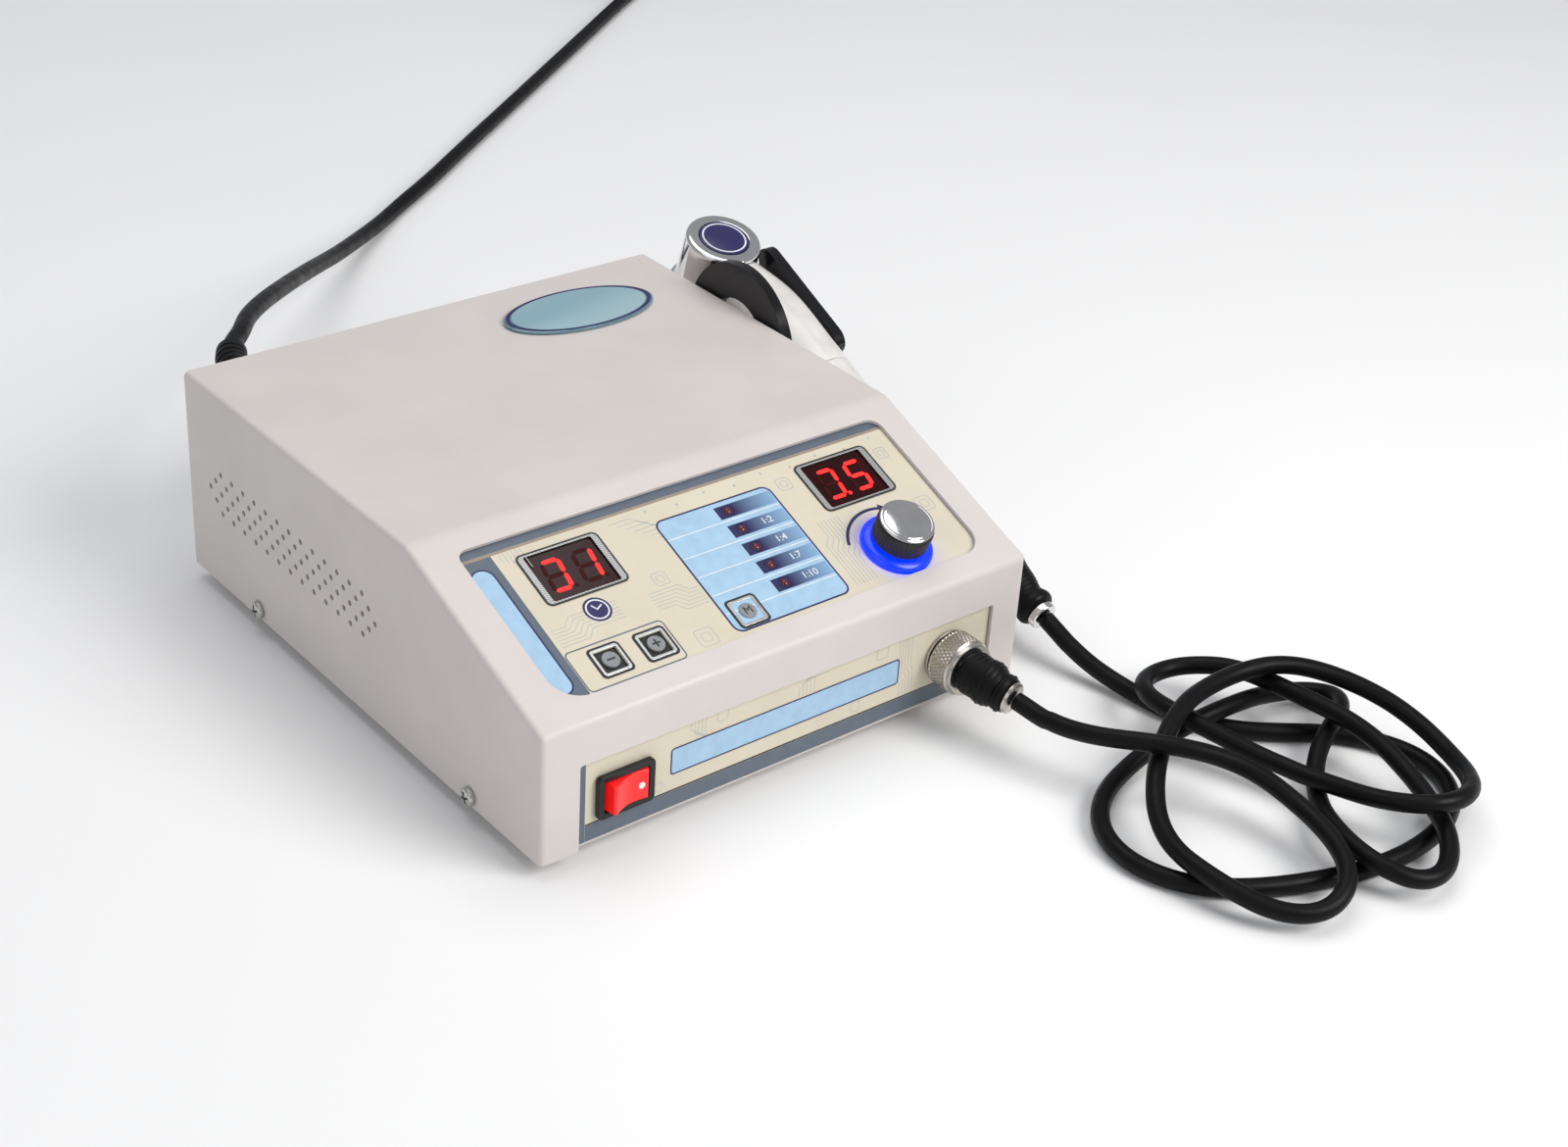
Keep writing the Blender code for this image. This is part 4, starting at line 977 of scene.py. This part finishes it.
def add_panel_printing():
    printed("print_traces", circuit_traces(), "ink_trace", SLOPE, 0)
    printed("print_top_band", [band(-86, 67.3, 86, 73.8)], "ink_slate", SLOPE, 0)
    printed("print_left_band", [band(-86, 5, -71.6, 66.2)], "ink_slate", SLOPE, 0)
    printed("print_stripe", [band(-86, 66.25, 86, 67.25)], "ink_brown", SLOPE, 0)
    pill = rounded(-82.2, 12.0, -74.5, 62.5, 3.8)
    printed("print_pill", [area(pill)], "ink_sky", SLOPE, 1)
    printed("print_pill_line", [line(pill[::-1], 0.6, True)], "ink_navy", SLOPE, 2)
    add_mode_field()
    clock = (-51.9, 36.1)
    printed("print_clock", [area(circle(4.6, 48, clock))], "ink_navy", SLOPE, 1)
    hands = [(clock[0] - 1.2, clock[1] + 2.0), clock, (clock[0] + 2.2, clock[1] + 1.2)]
    printed("print_clock_marks", [line(circle(3.6, 48, clock), 0.5, True), line(hands, 0.45)],
            "ink_white", SLOPE, 2)
    frames = [line(rounded(-71.2, 9.8, -35.8, 25.2, 1.6, 4)[::-1], 0.45, True)]
    knob = centre_of("knob_body", SLOPE)
    sweep = arc(knob, 16.2, 158, 74)
    tip = Vector(sweep[-1])
    ahead = Vector((math.sin(math.radians(74)), -math.cos(math.radians(74))))
    out = Vector((ahead.y, -ahead.x))
    head = [tuple(tip + ahead * 3.6), tuple(tip + out * 1.7), tuple(tip - out * 1.7)]
    printed("print_frames", frames, "ink_slate", SLOPE, 1)
    printed("print_turn_arrow", [line(sweep, 1.1), area(head)], "ink_navy", SLOPE, 1)


def add_mode_field():
    """Light blue field with a fading dark bar and a duty ratio beside each lamp."""
    field = rounded(-15.8, 11.4, 29.3, 59.0, 3.0)
    printed("print_field", [area(field)], "ink_sky", SLOPE, 1)
    printed("print_field_line", [line(field[::-1], 0.6, True)], "ink_navy", SLOPE, 2)
    rules = [line([(-15.2, v), (28.8, v)], 0.3) for v in (51.0, 42.6, 34.6, 26.7, 19.0)]
    printed("print_rules", rules, "ink_white", SLOPE, 2)
    rows = [centre_of(f"mode_led_{i}", SLOPE)[1] for i in range(1, 6)]
    bars = [band(6.3, v - 2.6, 28.6, v + 2.5) for v in rows]
    left, right = (SLOPE @ Vector((u, 0, 0)) for u in (13, 29))
    dark, light = (0.016, 0.014, 0.085), (0.24, 0.42, 0.64)
    finishes["ink_fade"] = gradient_ink("ink_fade", dark, light, left.x, right.x)
    printed("print_bars", bars, "ink_fade", SLOPE, 3)
    for i, (label, v) in enumerate(zip(("1:2", "1:4", "1:7", "1:10"), rows[1:])):
        lettered(f"print_ratio_{i + 1}", label, 2.7, (20.6, v), "ink_white", SLOPE, 4)


def lettered(name, text, height, spot, finish, axes, layer, body="case"):
    """A number or sign in Blender's own font, as a thin closed mesh."""
    curve = bpy.data.curves.new(name, "FONT")
    curve.body = text
    curve.size = height * 1.35
    curve.align_x = "CENTER"
    curve.align_y = "CENTER"
    curve.extrude = INK / 2
    curve.resolution_u = 4
    lettering = bpy.data.objects.new(name + "_curve", curve)
    bpy.context.scene.collection.objects.link(lettering)
    bpy.context.view_layer.update()
    graph = bpy.context.evaluated_depsgraph_get()
    bm = bmesh.new()
    bm.from_mesh(bpy.data.meshes.new_from_object(lettering.evaluated_get(graph)))
    bpy.data.objects.remove(lettering)
    bmesh.ops.remove_doubles(bm, verts=bm.verts, dist=1e-5)
    bmesh.ops.translate(bm, verts=bm.verts, vec=(*spot, FILM_TOP + INK * (layer + 0.5)))
    return piece(name, bm, finish, axes, body, smooth=10)


def front_traces():
    """The same faint circuit-board pattern on the front film."""
    shapes = []
    for i in range(5):
        u = -40.0 + 1.4 * i
        shapes.append(line([(u, 32.5), (u, 27.0 - i), (u + 2.5, 24.5 - i), (u + 2.5, 23.2)], 0.26))
        u = 2.0 + 1.5 * i
        shapes.append(line([(u, 23.2), (u, 26.0 + i), (u + 2.5, 28.5 + i), (u + 12.0, 28.5 + i)], 0.26))
        u = 44.5 + 1.3 * i
        shapes.append(line([(u, 8.2), (u, 13.0 + i), (u - 1.0, 14.0 + i), (u - 1.0, 30.0)], 0.26))
    for u, v, size in ((-28.0, 28.0, 4.0), (-51.5, 10.6, 3.0), (26.0, 10.8, 3.4), (36.0, 27.5, 4.6)):
        shapes.append(chip(u, v, size, 0.8, 0.28))
    return shapes


def add_front_printing():
    printed("print_front_traces", front_traces(), "ink_trace", FRONT, 0)
    printed("print_front_side", [band(-84.8, 1.4, -78.4, 33.2)], "ink_slate", FRONT, 0)
    printed("print_front_band", [band(-78.3, 1.4, 84.8, 7.0)], "ink_slate", FRONT, 0)
    printed("print_front_line", [band(-78.3, 7.1, 84.8, 7.7)], "ink_black", FRONT, 0)
    printed("print_front_bar", [band(-47.0, 13.4, 43.5, 22.5, 1.0)], "ink_sky", FRONT, 1)
    printed("print_front_edge", [line(rounded(-47.0, 13.4, 43.5, 22.5, 1.0)[::-1], 0.5, True)],
            "ink_navy", FRONT, 2)


add_panel_printing()
add_front_printing()


# Displays, lamps and keys


def add_display(name, lit):
    """A two-digit display in its printed silver bezel. Lit gives each digit's segments."""
    low, high = extent(name, SLOPE)
    u, v = centre_of(name, SLOPE)
    w, h = (high[0] - low[0]) / 2, (high[1] - low[1]) / 2
    axes = shifted(SLOPE, u, v, high[2])
    module = prism(rounded(-w, -h, w, h, 0.5), low[2] - high[2], 0)
    piece(name + "_module", module, "display_black", axes, "case", (name,), bevel=0.2)
    lift = FILM_TOP - high[2]
    bezel = ring_slab(rounded(-14.5, -10.0, 14.5, 10.0, 1.8),
                      rounded(-w - 0.1, -h - 0.1, w + 0.1, h + 0.1, 0.8), lift + INK, lift + 0.3)
    piece(name + "_bezel", bezel, "silver_hatch", axes, bevel=0.08)
    outline = ring_slab(rounded(-15.0, -10.5, 15.0, 10.5, 2.2), rounded(-14.4, -9.9, 14.4, 9.9, 1.7),
                        lift + INK, lift + 0.34)
    piece(name + "_outline", outline, "ink_black", axes)
    shapes = {"segment_lit": bmesh.new(), "segment_off": bmesh.new()}
    for side, on in zip((-1, 1), lit):
        for key, ends in SEGMENTS.items():
            spots = []
            for across, up in ends:
                y = (up - 1) * 5.6
                spots.append(Vector((side * 5.7 + (across - 0.5) * 6.0 + y * 0.12, y)))
            along = (spots[1] - spots[0]).normalized()
            a, b = spots[0] + along * 0.25, spots[1] - along * 0.25
            point, wide = along * 0.7, Vector((-along.y, along.x)) * 0.7
            bar = [a, a + point + wide, b - point + wide, b, b - point - wide, a + point - wide]
            layer = shapes["segment_lit" if key in on else "segment_off"]
            prism([tuple(p) for p in bar], 0.02, 0.1, bm=layer)
        spot = (side * 5.7 + 3.9, -5.6)
        prism(circle(0.7, 16, spot), 0.02, 0.1, bm=shapes["segment_lit" if "p" in on else "segment_off"])
    for finish, bm in shapes.items():
        piece(f"{name}_{finish}", bm, finish, axes, smooth=10)


def add_lamps():
    for i in range(1, 6):
        name = f"mode_led_{i}"
        u, v = centre_of(name, SLOPE)
        low, high = extent(name, SLOPE)
        r = (high[0] - low[0]) / 2
        dome = [(r * math.cos(a), high[2] - 1.3 + 1.25 * math.sin(a)) for a in np.radians(range(0, 90, 15))]
        profile = [(0, low[2]), (r, low[2]), *dome, (0, high[2] - 0.04)]
        piece(f"lamp_{i}", turned(profile, 32), "led_red", shifted(SLOPE, u, v), "case", (name,))
        collar = ring_slab(circle(r + 0.75, 32), circle(r + 0.3, 32), FILM_TOP + 2 * INK, FILM_TOP + 4 * INK)
        piece(f"lamp_collar_{i}", collar, "ink_navy", shifted(SLOPE, u, v))


def add_key(name, body, sign):
    """A square black key with a grey disc and its sign, in a printed silver frame."""
    low, high = extent(name, SLOPE)
    u, v = centre_of(name, SLOPE)
    half = (high[0] - low[0]) / 2
    axes = shifted(SLOPE, u, v)
    top = FILM_TOP - 0.3
    bm = prism(rounded(-half, -half, half, half, 0.5), top - 1.6, top)
    turned(softened([(0, low[2]), (1.6, low[2]), (1.6, top - 1.0), (0, top - 1.0)], 0.3), 24, bm)
    piece(name + "_body", bm, "satin_black", axes, body, (name,), bevel=0.12)
    flat = high[2] - 0.04
    disc = softened([(0, top - 0.2), (2.9, top - 0.2), (2.9, high[2] - 0.12), (2.6, flat), (0, flat)], 0.2)
    piece(name + "_disc", turned(disc, 40), "ink_grey", axes, body)
    marks = bmesh.new()
    under, over = high[2] - 0.05, high[2]
    if sign == "M":
        ribbon([(-1.1, -1.3), (-1.1, 1.3), (0, 0), (1.1, 1.3), (1.1, -1.3)], 0.5, under, over, marks)
    else:
        prism([(-1.5, -0.3), (1.5, -0.3), (1.5, 0.3), (-1.5, 0.3)], under, over, bm=marks)
    if sign == "+":
        for side in (-1, 1):
            a, b = sorted((side * 0.3, side * 1.5))
            prism([(-0.3, a), (0.3, a), (0.3, b), (-0.3, b)], under, over, bm=marks)
    piece(name + "_sign", marks, "ink_black", axes, body, smooth=10)
    edge = half + 0.5
    bezel = ring_slab(rounded(-edge - 0.9, -edge - 0.9, edge + 0.9, edge + 0.9, 1.0),
                      rounded(-edge, -edge, edge, edge, 0.6), FILM_TOP + INK, FILM_TOP + 0.32)
    piece(name + "_frame", bezel, "silver_edge", axes, bevel=0.1)
    edge += 0.9
    outline = ring_slab(rounded(-edge - 0.8, -edge - 0.8, edge + 0.8, edge + 0.8, 1.6),
                        rounded(-edge, -edge, edge, edge, 1.0), FILM_TOP + INK, FILM_TOP + 0.14)
    piece(name + "_outline", outline, "ink_black", axes)


add_display("timer_display", ("abcd", "bc"))
add_display("intensity_display", ("abcdp", "acdfg"))
add_lamps()
add_key("minus_key", "minus_button", "-")
add_key("plus_key", "plus_button", "+")
add_key("mode_key", "mode_button", "M")


# Knob, rocker switch and output plug


def add_knob():
    u, v = centre_of("knob_body", SLOPE)
    low, high = extent("knob_body", SLOPE)
    r = (high[0] - low[0]) / 2
    axes = shifted(SLOPE, u, v, low[2])
    top = high[2] - low[2]

    def grip(radius, height, angle):
        if radius > r - 0.6 and 0.5 < height < top - 0.6:
            return radius - 0.28 * (0.5 - 0.5 * math.cos(angle * 48)) ** 2
        return radius

    rise = [(r - 0.05, 0.6 + (top - 1.4) * i / 6) for i in range(7)]
    side = [(3.2, 0), (r - 0.4, 0), (r - 0.1, 0.3), *rise, (r - 0.4, top - 0.15)]
    inner = [(r - 0.9, top), (r - 1.4, top), (r - 1.4, top - 1.2), (0, top - 1.2), (0, 4.6), (3.2, 4.6)]
    piece("knob_grip", turned([*side, *inner], 288, ribs=grip), "satin_black", axes,
          "intensity_knob", ("knob_body",))
    low, high = extent("knob_cap", SLOPE)
    r = (high[0] - low[0]) / 2
    axes = shifted(SLOPE, u, v, low[2])
    tall = high[2] - low[2]
    seat = [(0, 0.02), (r - 1.35, 0.02), (r - 1.35, 1.24)]
    rim = [(r - 0.05, 1.24), (r, 1.4), (r, 1.6), (r - 0.35, 1.95), (r - 0.9, 2.05), (r - 1.1, 1.98)]
    dome = [(x, tall - 0.06 - (tall - 2.2) * (x / (r - 1.2)) ** 2) for x in np.linspace(r - 1.3, 0, 14)]
    piece("knob_crown", turned([*seat, *rim, *[(float(x), z) for x, z in dome]], 96), "chrome", axes,
          "intensity_knob", ("knob_cap",))
    low, high = extent("glow_ring", SLOPE)
    r = (high[0] - low[0]) / 2
    axes = shifted(SLOPE, u, v, low[2])
    tall = high[2] - low[2]
    outer = [(r, 0), (r, 0.7), (r - 0.25, 1.35), (r - 0.8, 1.95), (r - 1.6, tall - 0.35),
             (r - 2.6, tall - 0.08)]
    piece("glow_collar", turned([(4.9, 0), *outer, (r - 3.4, tall), (4.9, tall)], 96), "blue_glow", axes,
          "case", ("glow_ring",), smooth=50)


def add_rocker():
    low, high = extent("rocker_housing", FRONT)
    u, v = centre_of("rocker_housing", FRONT)
    w, h = (high[0] - low[0]) / 2, (high[1] - low[1]) / 2
    axes = shifted(FRONT, u, v)
    well, sleeve = rounded(-8.1, -5.5, 8.1, 5.5, 0.4), rounded(-9.4, -6.5, 9.4, 6.5, 0.5)
    bezel = ring_slab(rounded(-w, -h, w, h, 1.6), well, high[2] - 1.9, high[2])
    ring_slab(sleeve, well, low[2] + 3, high[2] - 1.95, bezel)
    prism(sleeve, low[2], low[2] + 2.95, bm=bezel)
    piece("rocker_frame", bezel, "black_plastic", axes, "case", ("rocker_housing",),
          bevel=0.25)
    a, b = 7.2, 5.2
    pivot = shifted(FRONT, u, v, high[2] - 1.9) @ Matrix.Rotation(math.radians(10), 4, "Y")
    bowl = [(x, 2.3 + 1.5 * (abs(x) / (a - 0.6)) ** 1.6) for x in np.linspace(a - 0.6, 0.6 - a, 17)]
    wedge = [(-a, -3.4), (a, -3.4), (a, 3.3), *[(float(x), z) for x, z in bowl], (-a, 3.3)]
    piece("rocker_paddle", prism(wedge, -b, b, "Y"), "lit_red_plastic", pivot, "power_switch",
          ("power_rocker",), smooth=30, bevel=0.3)
    dot = turned([(0, 3.2), (1.1, 3.2), (1.1, 3.72), (0, 3.72)], 32)
    tilt = pivot @ Matrix.Translation((5.3, 0, -0.28)) @ Matrix.Rotation(math.radians(-14), 4, "Y")
    piece("rocker_dot", dot, "ink_white", tilt, "power_switch")


def knurl(radius, height, angle):
    """Diamond knurling: ridges of two opposite helices."""
    if not 9.3 < radius or not 1.3 < height < 8.2:
        return radius
    one = abs(math.sin(angle * 22 + height * 1.25))
    two = abs(math.sin(angle * 22 - height * 1.25))
    return radius - 0.42 + 0.42 * min(one, two) ** 0.8


def add_output_plug():
    u, v = centre_of("coupling_ring", FRONT)
    axes = shifted(FRONT, u, v)
    flange = -1.2
    socket = [
        (0, -14), (5.6, -14), (5.6, -9), (8.0, -9), (8.0, flange), (9.2, flange), (9.2, -0.2),
        (6.9, 0), (6.9, 3.4), (6.0, 3.4), (6.0, -5.5), (0, -5.5),
    ]
    piece("socket_body", turned(softened(socket, 0.2), 72), "nickel", axes, "case", ("output_socket",))
    core = [(0, -5.0), (5.6, -5.0), (5.6, 3.7), (6.5, 3.7), (6.5, 10.6), (0, 10.6)]
    piece("plug_insert", turned(softened(core, 0.2), 64), "nickel", axes, "case", ("plug_core",))
    grip = [(9.72, 1.0 + 7.4 * i / 30) for i in range(31)]
    ring = [(7.3, 0.6), (9.1, 0.6), (9.5, 0.8), *grip, (9.5, 8.6), (9.1, 8.9), (9.0, 10.3), (8.8, 10.6),
            (6.9, 10.6), (6.9, 6.0), (7.3, 6.0)]
    piece("knurled_ring", turned(ring, 264, ribs=knurl), "nickel", axes, "output_ring",
          ("coupling_ring",))
    path = smooth_path([p for p, r in PLUG_BOOT], 0.3)
    low = PLUG_BOOT[0][0][2]
    high = PLUG_BOOT[-1][0][2]
    tall = [p[2] for p, r in PLUG_BOOT]
    radii = []
    for point in path:
        radius = float(np.interp(point[2], tall, [r for p, r in PLUG_BOOT]))
        ribbed = 0.35 * math.sin((point[2] - low) * 2 * math.pi / 3.1) ** 2
        inner = min(1.0, (point[2] - low) / 1.0, (high - point[2]) / 1.0)
        radii.append(radius - ribbed - 0.3 * (1 - inner))
    piece("boot_ribbed", swept(path, radii, 48), "black_rubber", axes, "case", ("plug_boot",),
          smooth=60)
    out = (Vector(path[-1]) - Vector(path[-2])).normalized()
    last = Vector(PLUG_BOOT[-1][0])
    spots = [last + out * d for d in (0.3, 0.5, 1.0, 1.6, 1.8)]
    piece("boot_collar", swept(spots, [5.3, 5.55, 5.5, 5.3, 5.0], 48), "nickel", axes, "case",
          ("plug_ferrule",))


add_knob()
add_rocker()
add_output_plug()


# Rear panel


def add_rear_fittings():
    low, high = extent("fuse_cap", REAR)
    u, v = centre_of("fuse_cap", REAR)
    axes = shifted(REAR, u, v)
    shell = [
        (0, -36), (5.2, -36), (5.2, 0), (7.6, 0), (7.6, 1.6), (4.8, 1.6), (4.8, -3.0), (3.4, -3.0),
        (3.4, -32), (0, -32),
    ]
    piece("fuse_carrier_shell", turned(softened(shell, 0.3), 64), "black_plastic", axes, "case",
          ("fuse_holder",))

    def ridges(radius, height, angle):
        return radius - 0.35 * (math.cos(angle * 24) > 0.2) if radius > 6.0 and height > 2.2 else radius

    cap = [(0, -2.4), (4.3, -2.4), (4.3, 1.9), (6.4, 1.9), (6.4, 2.4), (6.4, 6.0), (5.8, 7.0), (0, 7.0)]
    knob = piece("fuse_cap_knob", turned(softened(cap, 0.3), 192, ribs=ridges), "black_plastic", axes,
                 "fuse_knob", ("fuse_cap",))
    slot = prism([(-5.0, -0.6), (5.0, -0.6), (5.0, 0.6), (-5.0, 0.6)], 5.6, 8.0)
    carved(knob, [("DIFFERENCE", helper_mesh(slot, axes))])
    path = smooth_path(RELIEF_PATH, 0.35)
    run = np.linspace(0, 1, len(path))
    radii = 6.4 - 1.0 * run
    radii = radii - 0.7 * (np.sin(run * 2 * math.pi * 7.5) > 0.35) * (run > 0.06) * (run < 0.95)
    gland = piece("gland_sleeve", swept(path, [float(r) for r in radii], 48), "black_rubber", CASE, "case",
                  ("mains_gland",), smooth=50)
    start = shifted(REAR, -RELIEF_PATH[0][0], RELIEF_PATH[0][2])
    collar = [(0, -8), (5.6, -8), (5.6, -2.2), (4.2, -2.2), (4.2, 0.0), (8.0, 0.0), (8.0, 2.2), (0, 2.2)]
    carved(gland, [("UNION", helper_mesh(turned(softened(collar, 0.4), 64), start))])


add_rear_fittings()


# Cradle and handpiece


def add_cradle():
    inner = HALF + GAP
    outer = inner + CRADLE_WALL
    bm = prism(circle(EAR_RADIUS, 120, EAR), inner, outer, "X")
    cradle = piece("cradle_shell", bm, "black_plastic", CASE, "case", ("cradle",))
    foot = prism(rounded(134, 37, 182, 63, 2.5), inner, outer, "X")
    hole = prism(circle(EAR_HOLE, 96, EAR), inner - 2, outer + 2, "X")
    r, wall = TROUGH_RADIUS, TROUGH_RADIUS + TROUGH_WALL
    hollow = [(-r, -2.0)] + circle(r, 96, start=math.pi)[:47:-1] + [(r, -2.0)]
    lip = [(r + 0.4, -2.7), (wall - 0.4, -2.7), (wall, -2.0)]
    hide = [(wall * math.cos(a), wall * math.sin(a)) for a in np.radians(range(0, 151, 4))]
    root = inner - HANDPIECE_END[0] + 0.8
    trough = hollow + lip + hide + [(root, 12.0), (root, -2.0)]
    jaw = [(149, 50.5), (144.5, 53.5), (142.8, 57.6), (144.8, 61.5), (164.5, 70.4), (186.5, 80.4),
           (190, 79.6), (191.4, 76), (188, 62.5)]
    jaw = softened([*jaw, jaw[0]], 2.2)[1:]
    x = HANDPIECE_END[0] + wall
    jaw_solid = prism(jaw, x - JAW_WALL, x + 0.3, "X")
    carved(cradle, [
        ("UNION", helper_mesh(foot, CASE)), ("DIFFERENCE", helper_mesh(hole, CASE)),
        ("UNION", helper_mesh(prism(trough, 141, 180), HANDPIECE)), ("UNION", helper_mesh(jaw_solid, CASE)),
    ])
    edge = cradle.modifiers.new("edge", "BEVEL")
    edge.width = 0.5 * MM
    edge.segments = 3
    edge.limit_method = "ANGLE"
    edge.angle_limit = math.radians(50)


def add_handpiece():
    body = "handpiece"
    ferrule = softened([(0, 0), (4.8, 0), (5.2, 0.5), (5.2, 2.7), (0, 2.7)], 0.25)
    piece("ferrule_ring", turned(ferrule, 56), "chrome", HANDPIECE, body, ("handle_ferrule",))
    knots = [(5.4, 3.0), (6.6, 4.2), (6.9, 6.6), (6.2, 8.6), (6.9, 12.0), (7.9, 17.0), (8.75, 21.7)]
    boot = flowing(knots, 0.3)
    ribbed = [(r - 0.3 * math.sin((z - 9) * 2 * math.pi / 3.0) ** 2 * (9 < z < 20), z) for r, z in boot]
    piece("boot_sleeve", turned([(0, 3.0), *ribbed, (0, 21.7)], 64), "black_rubber", HANDPIECE, body,
          ("handle_boot",), smooth=50)
    outside = flowing([(9.75, 23.2), (9.9, 40), (9.95, 60), (10.6, 95), (11.8, 118), (12.55, 126.3)], 2.0)
    front = [(0, 22), (8.9, 22), (9.35, 22.2), (9.6, 22.6), *outside, (12.5, 126.8), (10.4, 126.8), (8.0, 60),
             (7.8, 26), (0, 26)]
    piece("front_shell", turned(front, 96), "handle_white", HANDPIECE, body, ("handle_front_shell",))
    outside = flowing([(12.65, 127.6), (14.3, 146), (15.4, 160), (15.2, 169), (13.9, 179), (12.0, 192)], 1.5)
    rear = [(10.5, 127.2), (12.5, 127.2), *outside, (9.8, 192), (11.6, 179), (13.0, 166), (12.0, 146)]
    shell = piece("rear_shell", turned(rear, 96), "handle_white", HANDPIECE, body, ("handle_rear_shell",))
    reach = HEAD_RADIUS + GAP
    room = [(0, 0.6), (reach, 0.6), (reach, -20.2), (16.8, -22.2), (16.8, -27), (0, -27)]
    carved(shell, [("DIFFERENCE", helper_mesh(turned(room, 96), HEAD))])
    add_head(body)


def add_head(body):
    r = HEAD_RADIUS
    cup = [
        (0, -0.5), (9.8, -0.5), (9.8, 0), (r - 1.6, 0), (r - 0.5, -0.3), (r, -1.4), (r, -19.5),
        (r + 0.5, -21.2), (HEAD_RIM, -22.5), (HEAD_RIM, -23.7), (12.2, -23.7), (12.2, -3.0), (0, -3.0),
    ]
    piece("head_cup", turned(softened(cup, 0.5), 112), "chrome", HEAD, body, ("head_shell",))
    face = [(0, -24.0), (HEAD_RIM, -24.0), (HEAD_RIM, -25.2), (HEAD_RIM - 0.8, -26.0), (0, -26.0)]
    piece("face_plate", turned(softened(face, 0.4), 96), "treatment_face", HEAD, body, ("head_face",))
    disc = [(0, -0.2), (9.5, -0.2), (9.5, 0.1), (9.3, 0.17), (0, 0.17)]
    piece("label_disc", turned(disc, 80), "label_navy", HEAD, body, ("head_label",))
    marks = ring_slab(circle(8.5, 80), circle(7.9, 80), 0.17, 0.2)
    piece("label_rings", marks, "ink_white", HEAD, body)


add_cradle()
add_handpiece()


# Carried-over CAD nodes get the same procedural finishes


def finish_cad_nodes():
    slots = {s["node"]: s["material_slot"] for s in frame["record"]["subparts"]}
    for name, obj in frame["nodes"].items():
        if obj.hide_render:
            continue
        obj.data.materials.clear()
        obj.data.materials.append(finishes[slots[name]].material)


finish_cad_nodes()


# Stage


FLOOR_HALF = 4.0
SKY_STRENGTH = 0.36


def add_stage():
    bm = bmesh.new()
    bmesh.ops.create_grid(bm, x_segments=2, y_segments=2, size=FLOOR_HALF)
    mesh = bpy.data.meshes.new("floor")
    bm.to_mesh(mesh)
    bm.free()
    table = Finish("floor_paper", (0.93, 0.93, 0.93), 0.7)
    table.mottled(0.01, 0.2)
    mesh.materials.append(table.material)
    floor = bpy.data.objects.new("floor", mesh)
    bpy.context.scene.collection.objects.link(floor)
    world = bpy.data.worlds.new("studio")
    world.use_nodes = True
    world.node_tree.nodes["Background"].inputs["Color"].default_value = (0.93, 0.95, 1.0, 1)
    world.node_tree.nodes["Background"].inputs["Strength"].default_value = SKY_STRENGTH
    bpy.context.scene.world = world


def add_light(name, spot, target, size, power, colour=(1, 1, 1)):
    data = bpy.data.lights.new(name, "AREA")
    data.shape = "DISK"
    data.size = size
    data.energy = power
    data.color = colour
    light = bpy.data.objects.new(name, data)
    bpy.context.scene.collection.objects.link(light)
    light.location = spot
    aim = Vector(target) - Vector(spot)
    light.rotation_euler = aim.to_track_quat("-Z", "Y").to_euler()


def add_lights():
    add_light("key", (0.5, -1.1, 1.0), (0, 0, 0.03), 0.9, 15.0, (1.0, 0.985, 0.96))
    add_light("fill", (-1.2, -0.5, 0.9), (0, 0, 0.03), 1.2, 2.5, (0.96, 0.98, 1.0))
    add_light("top", (0.1, 0.3, 1.5), (0, 0, 0.03), 1.4, 8.0)
    scene = bpy.context.scene
    scene.view_settings.view_transform = "Standard"
    scene.view_settings.look = "None"


add_stage()
add_lights()
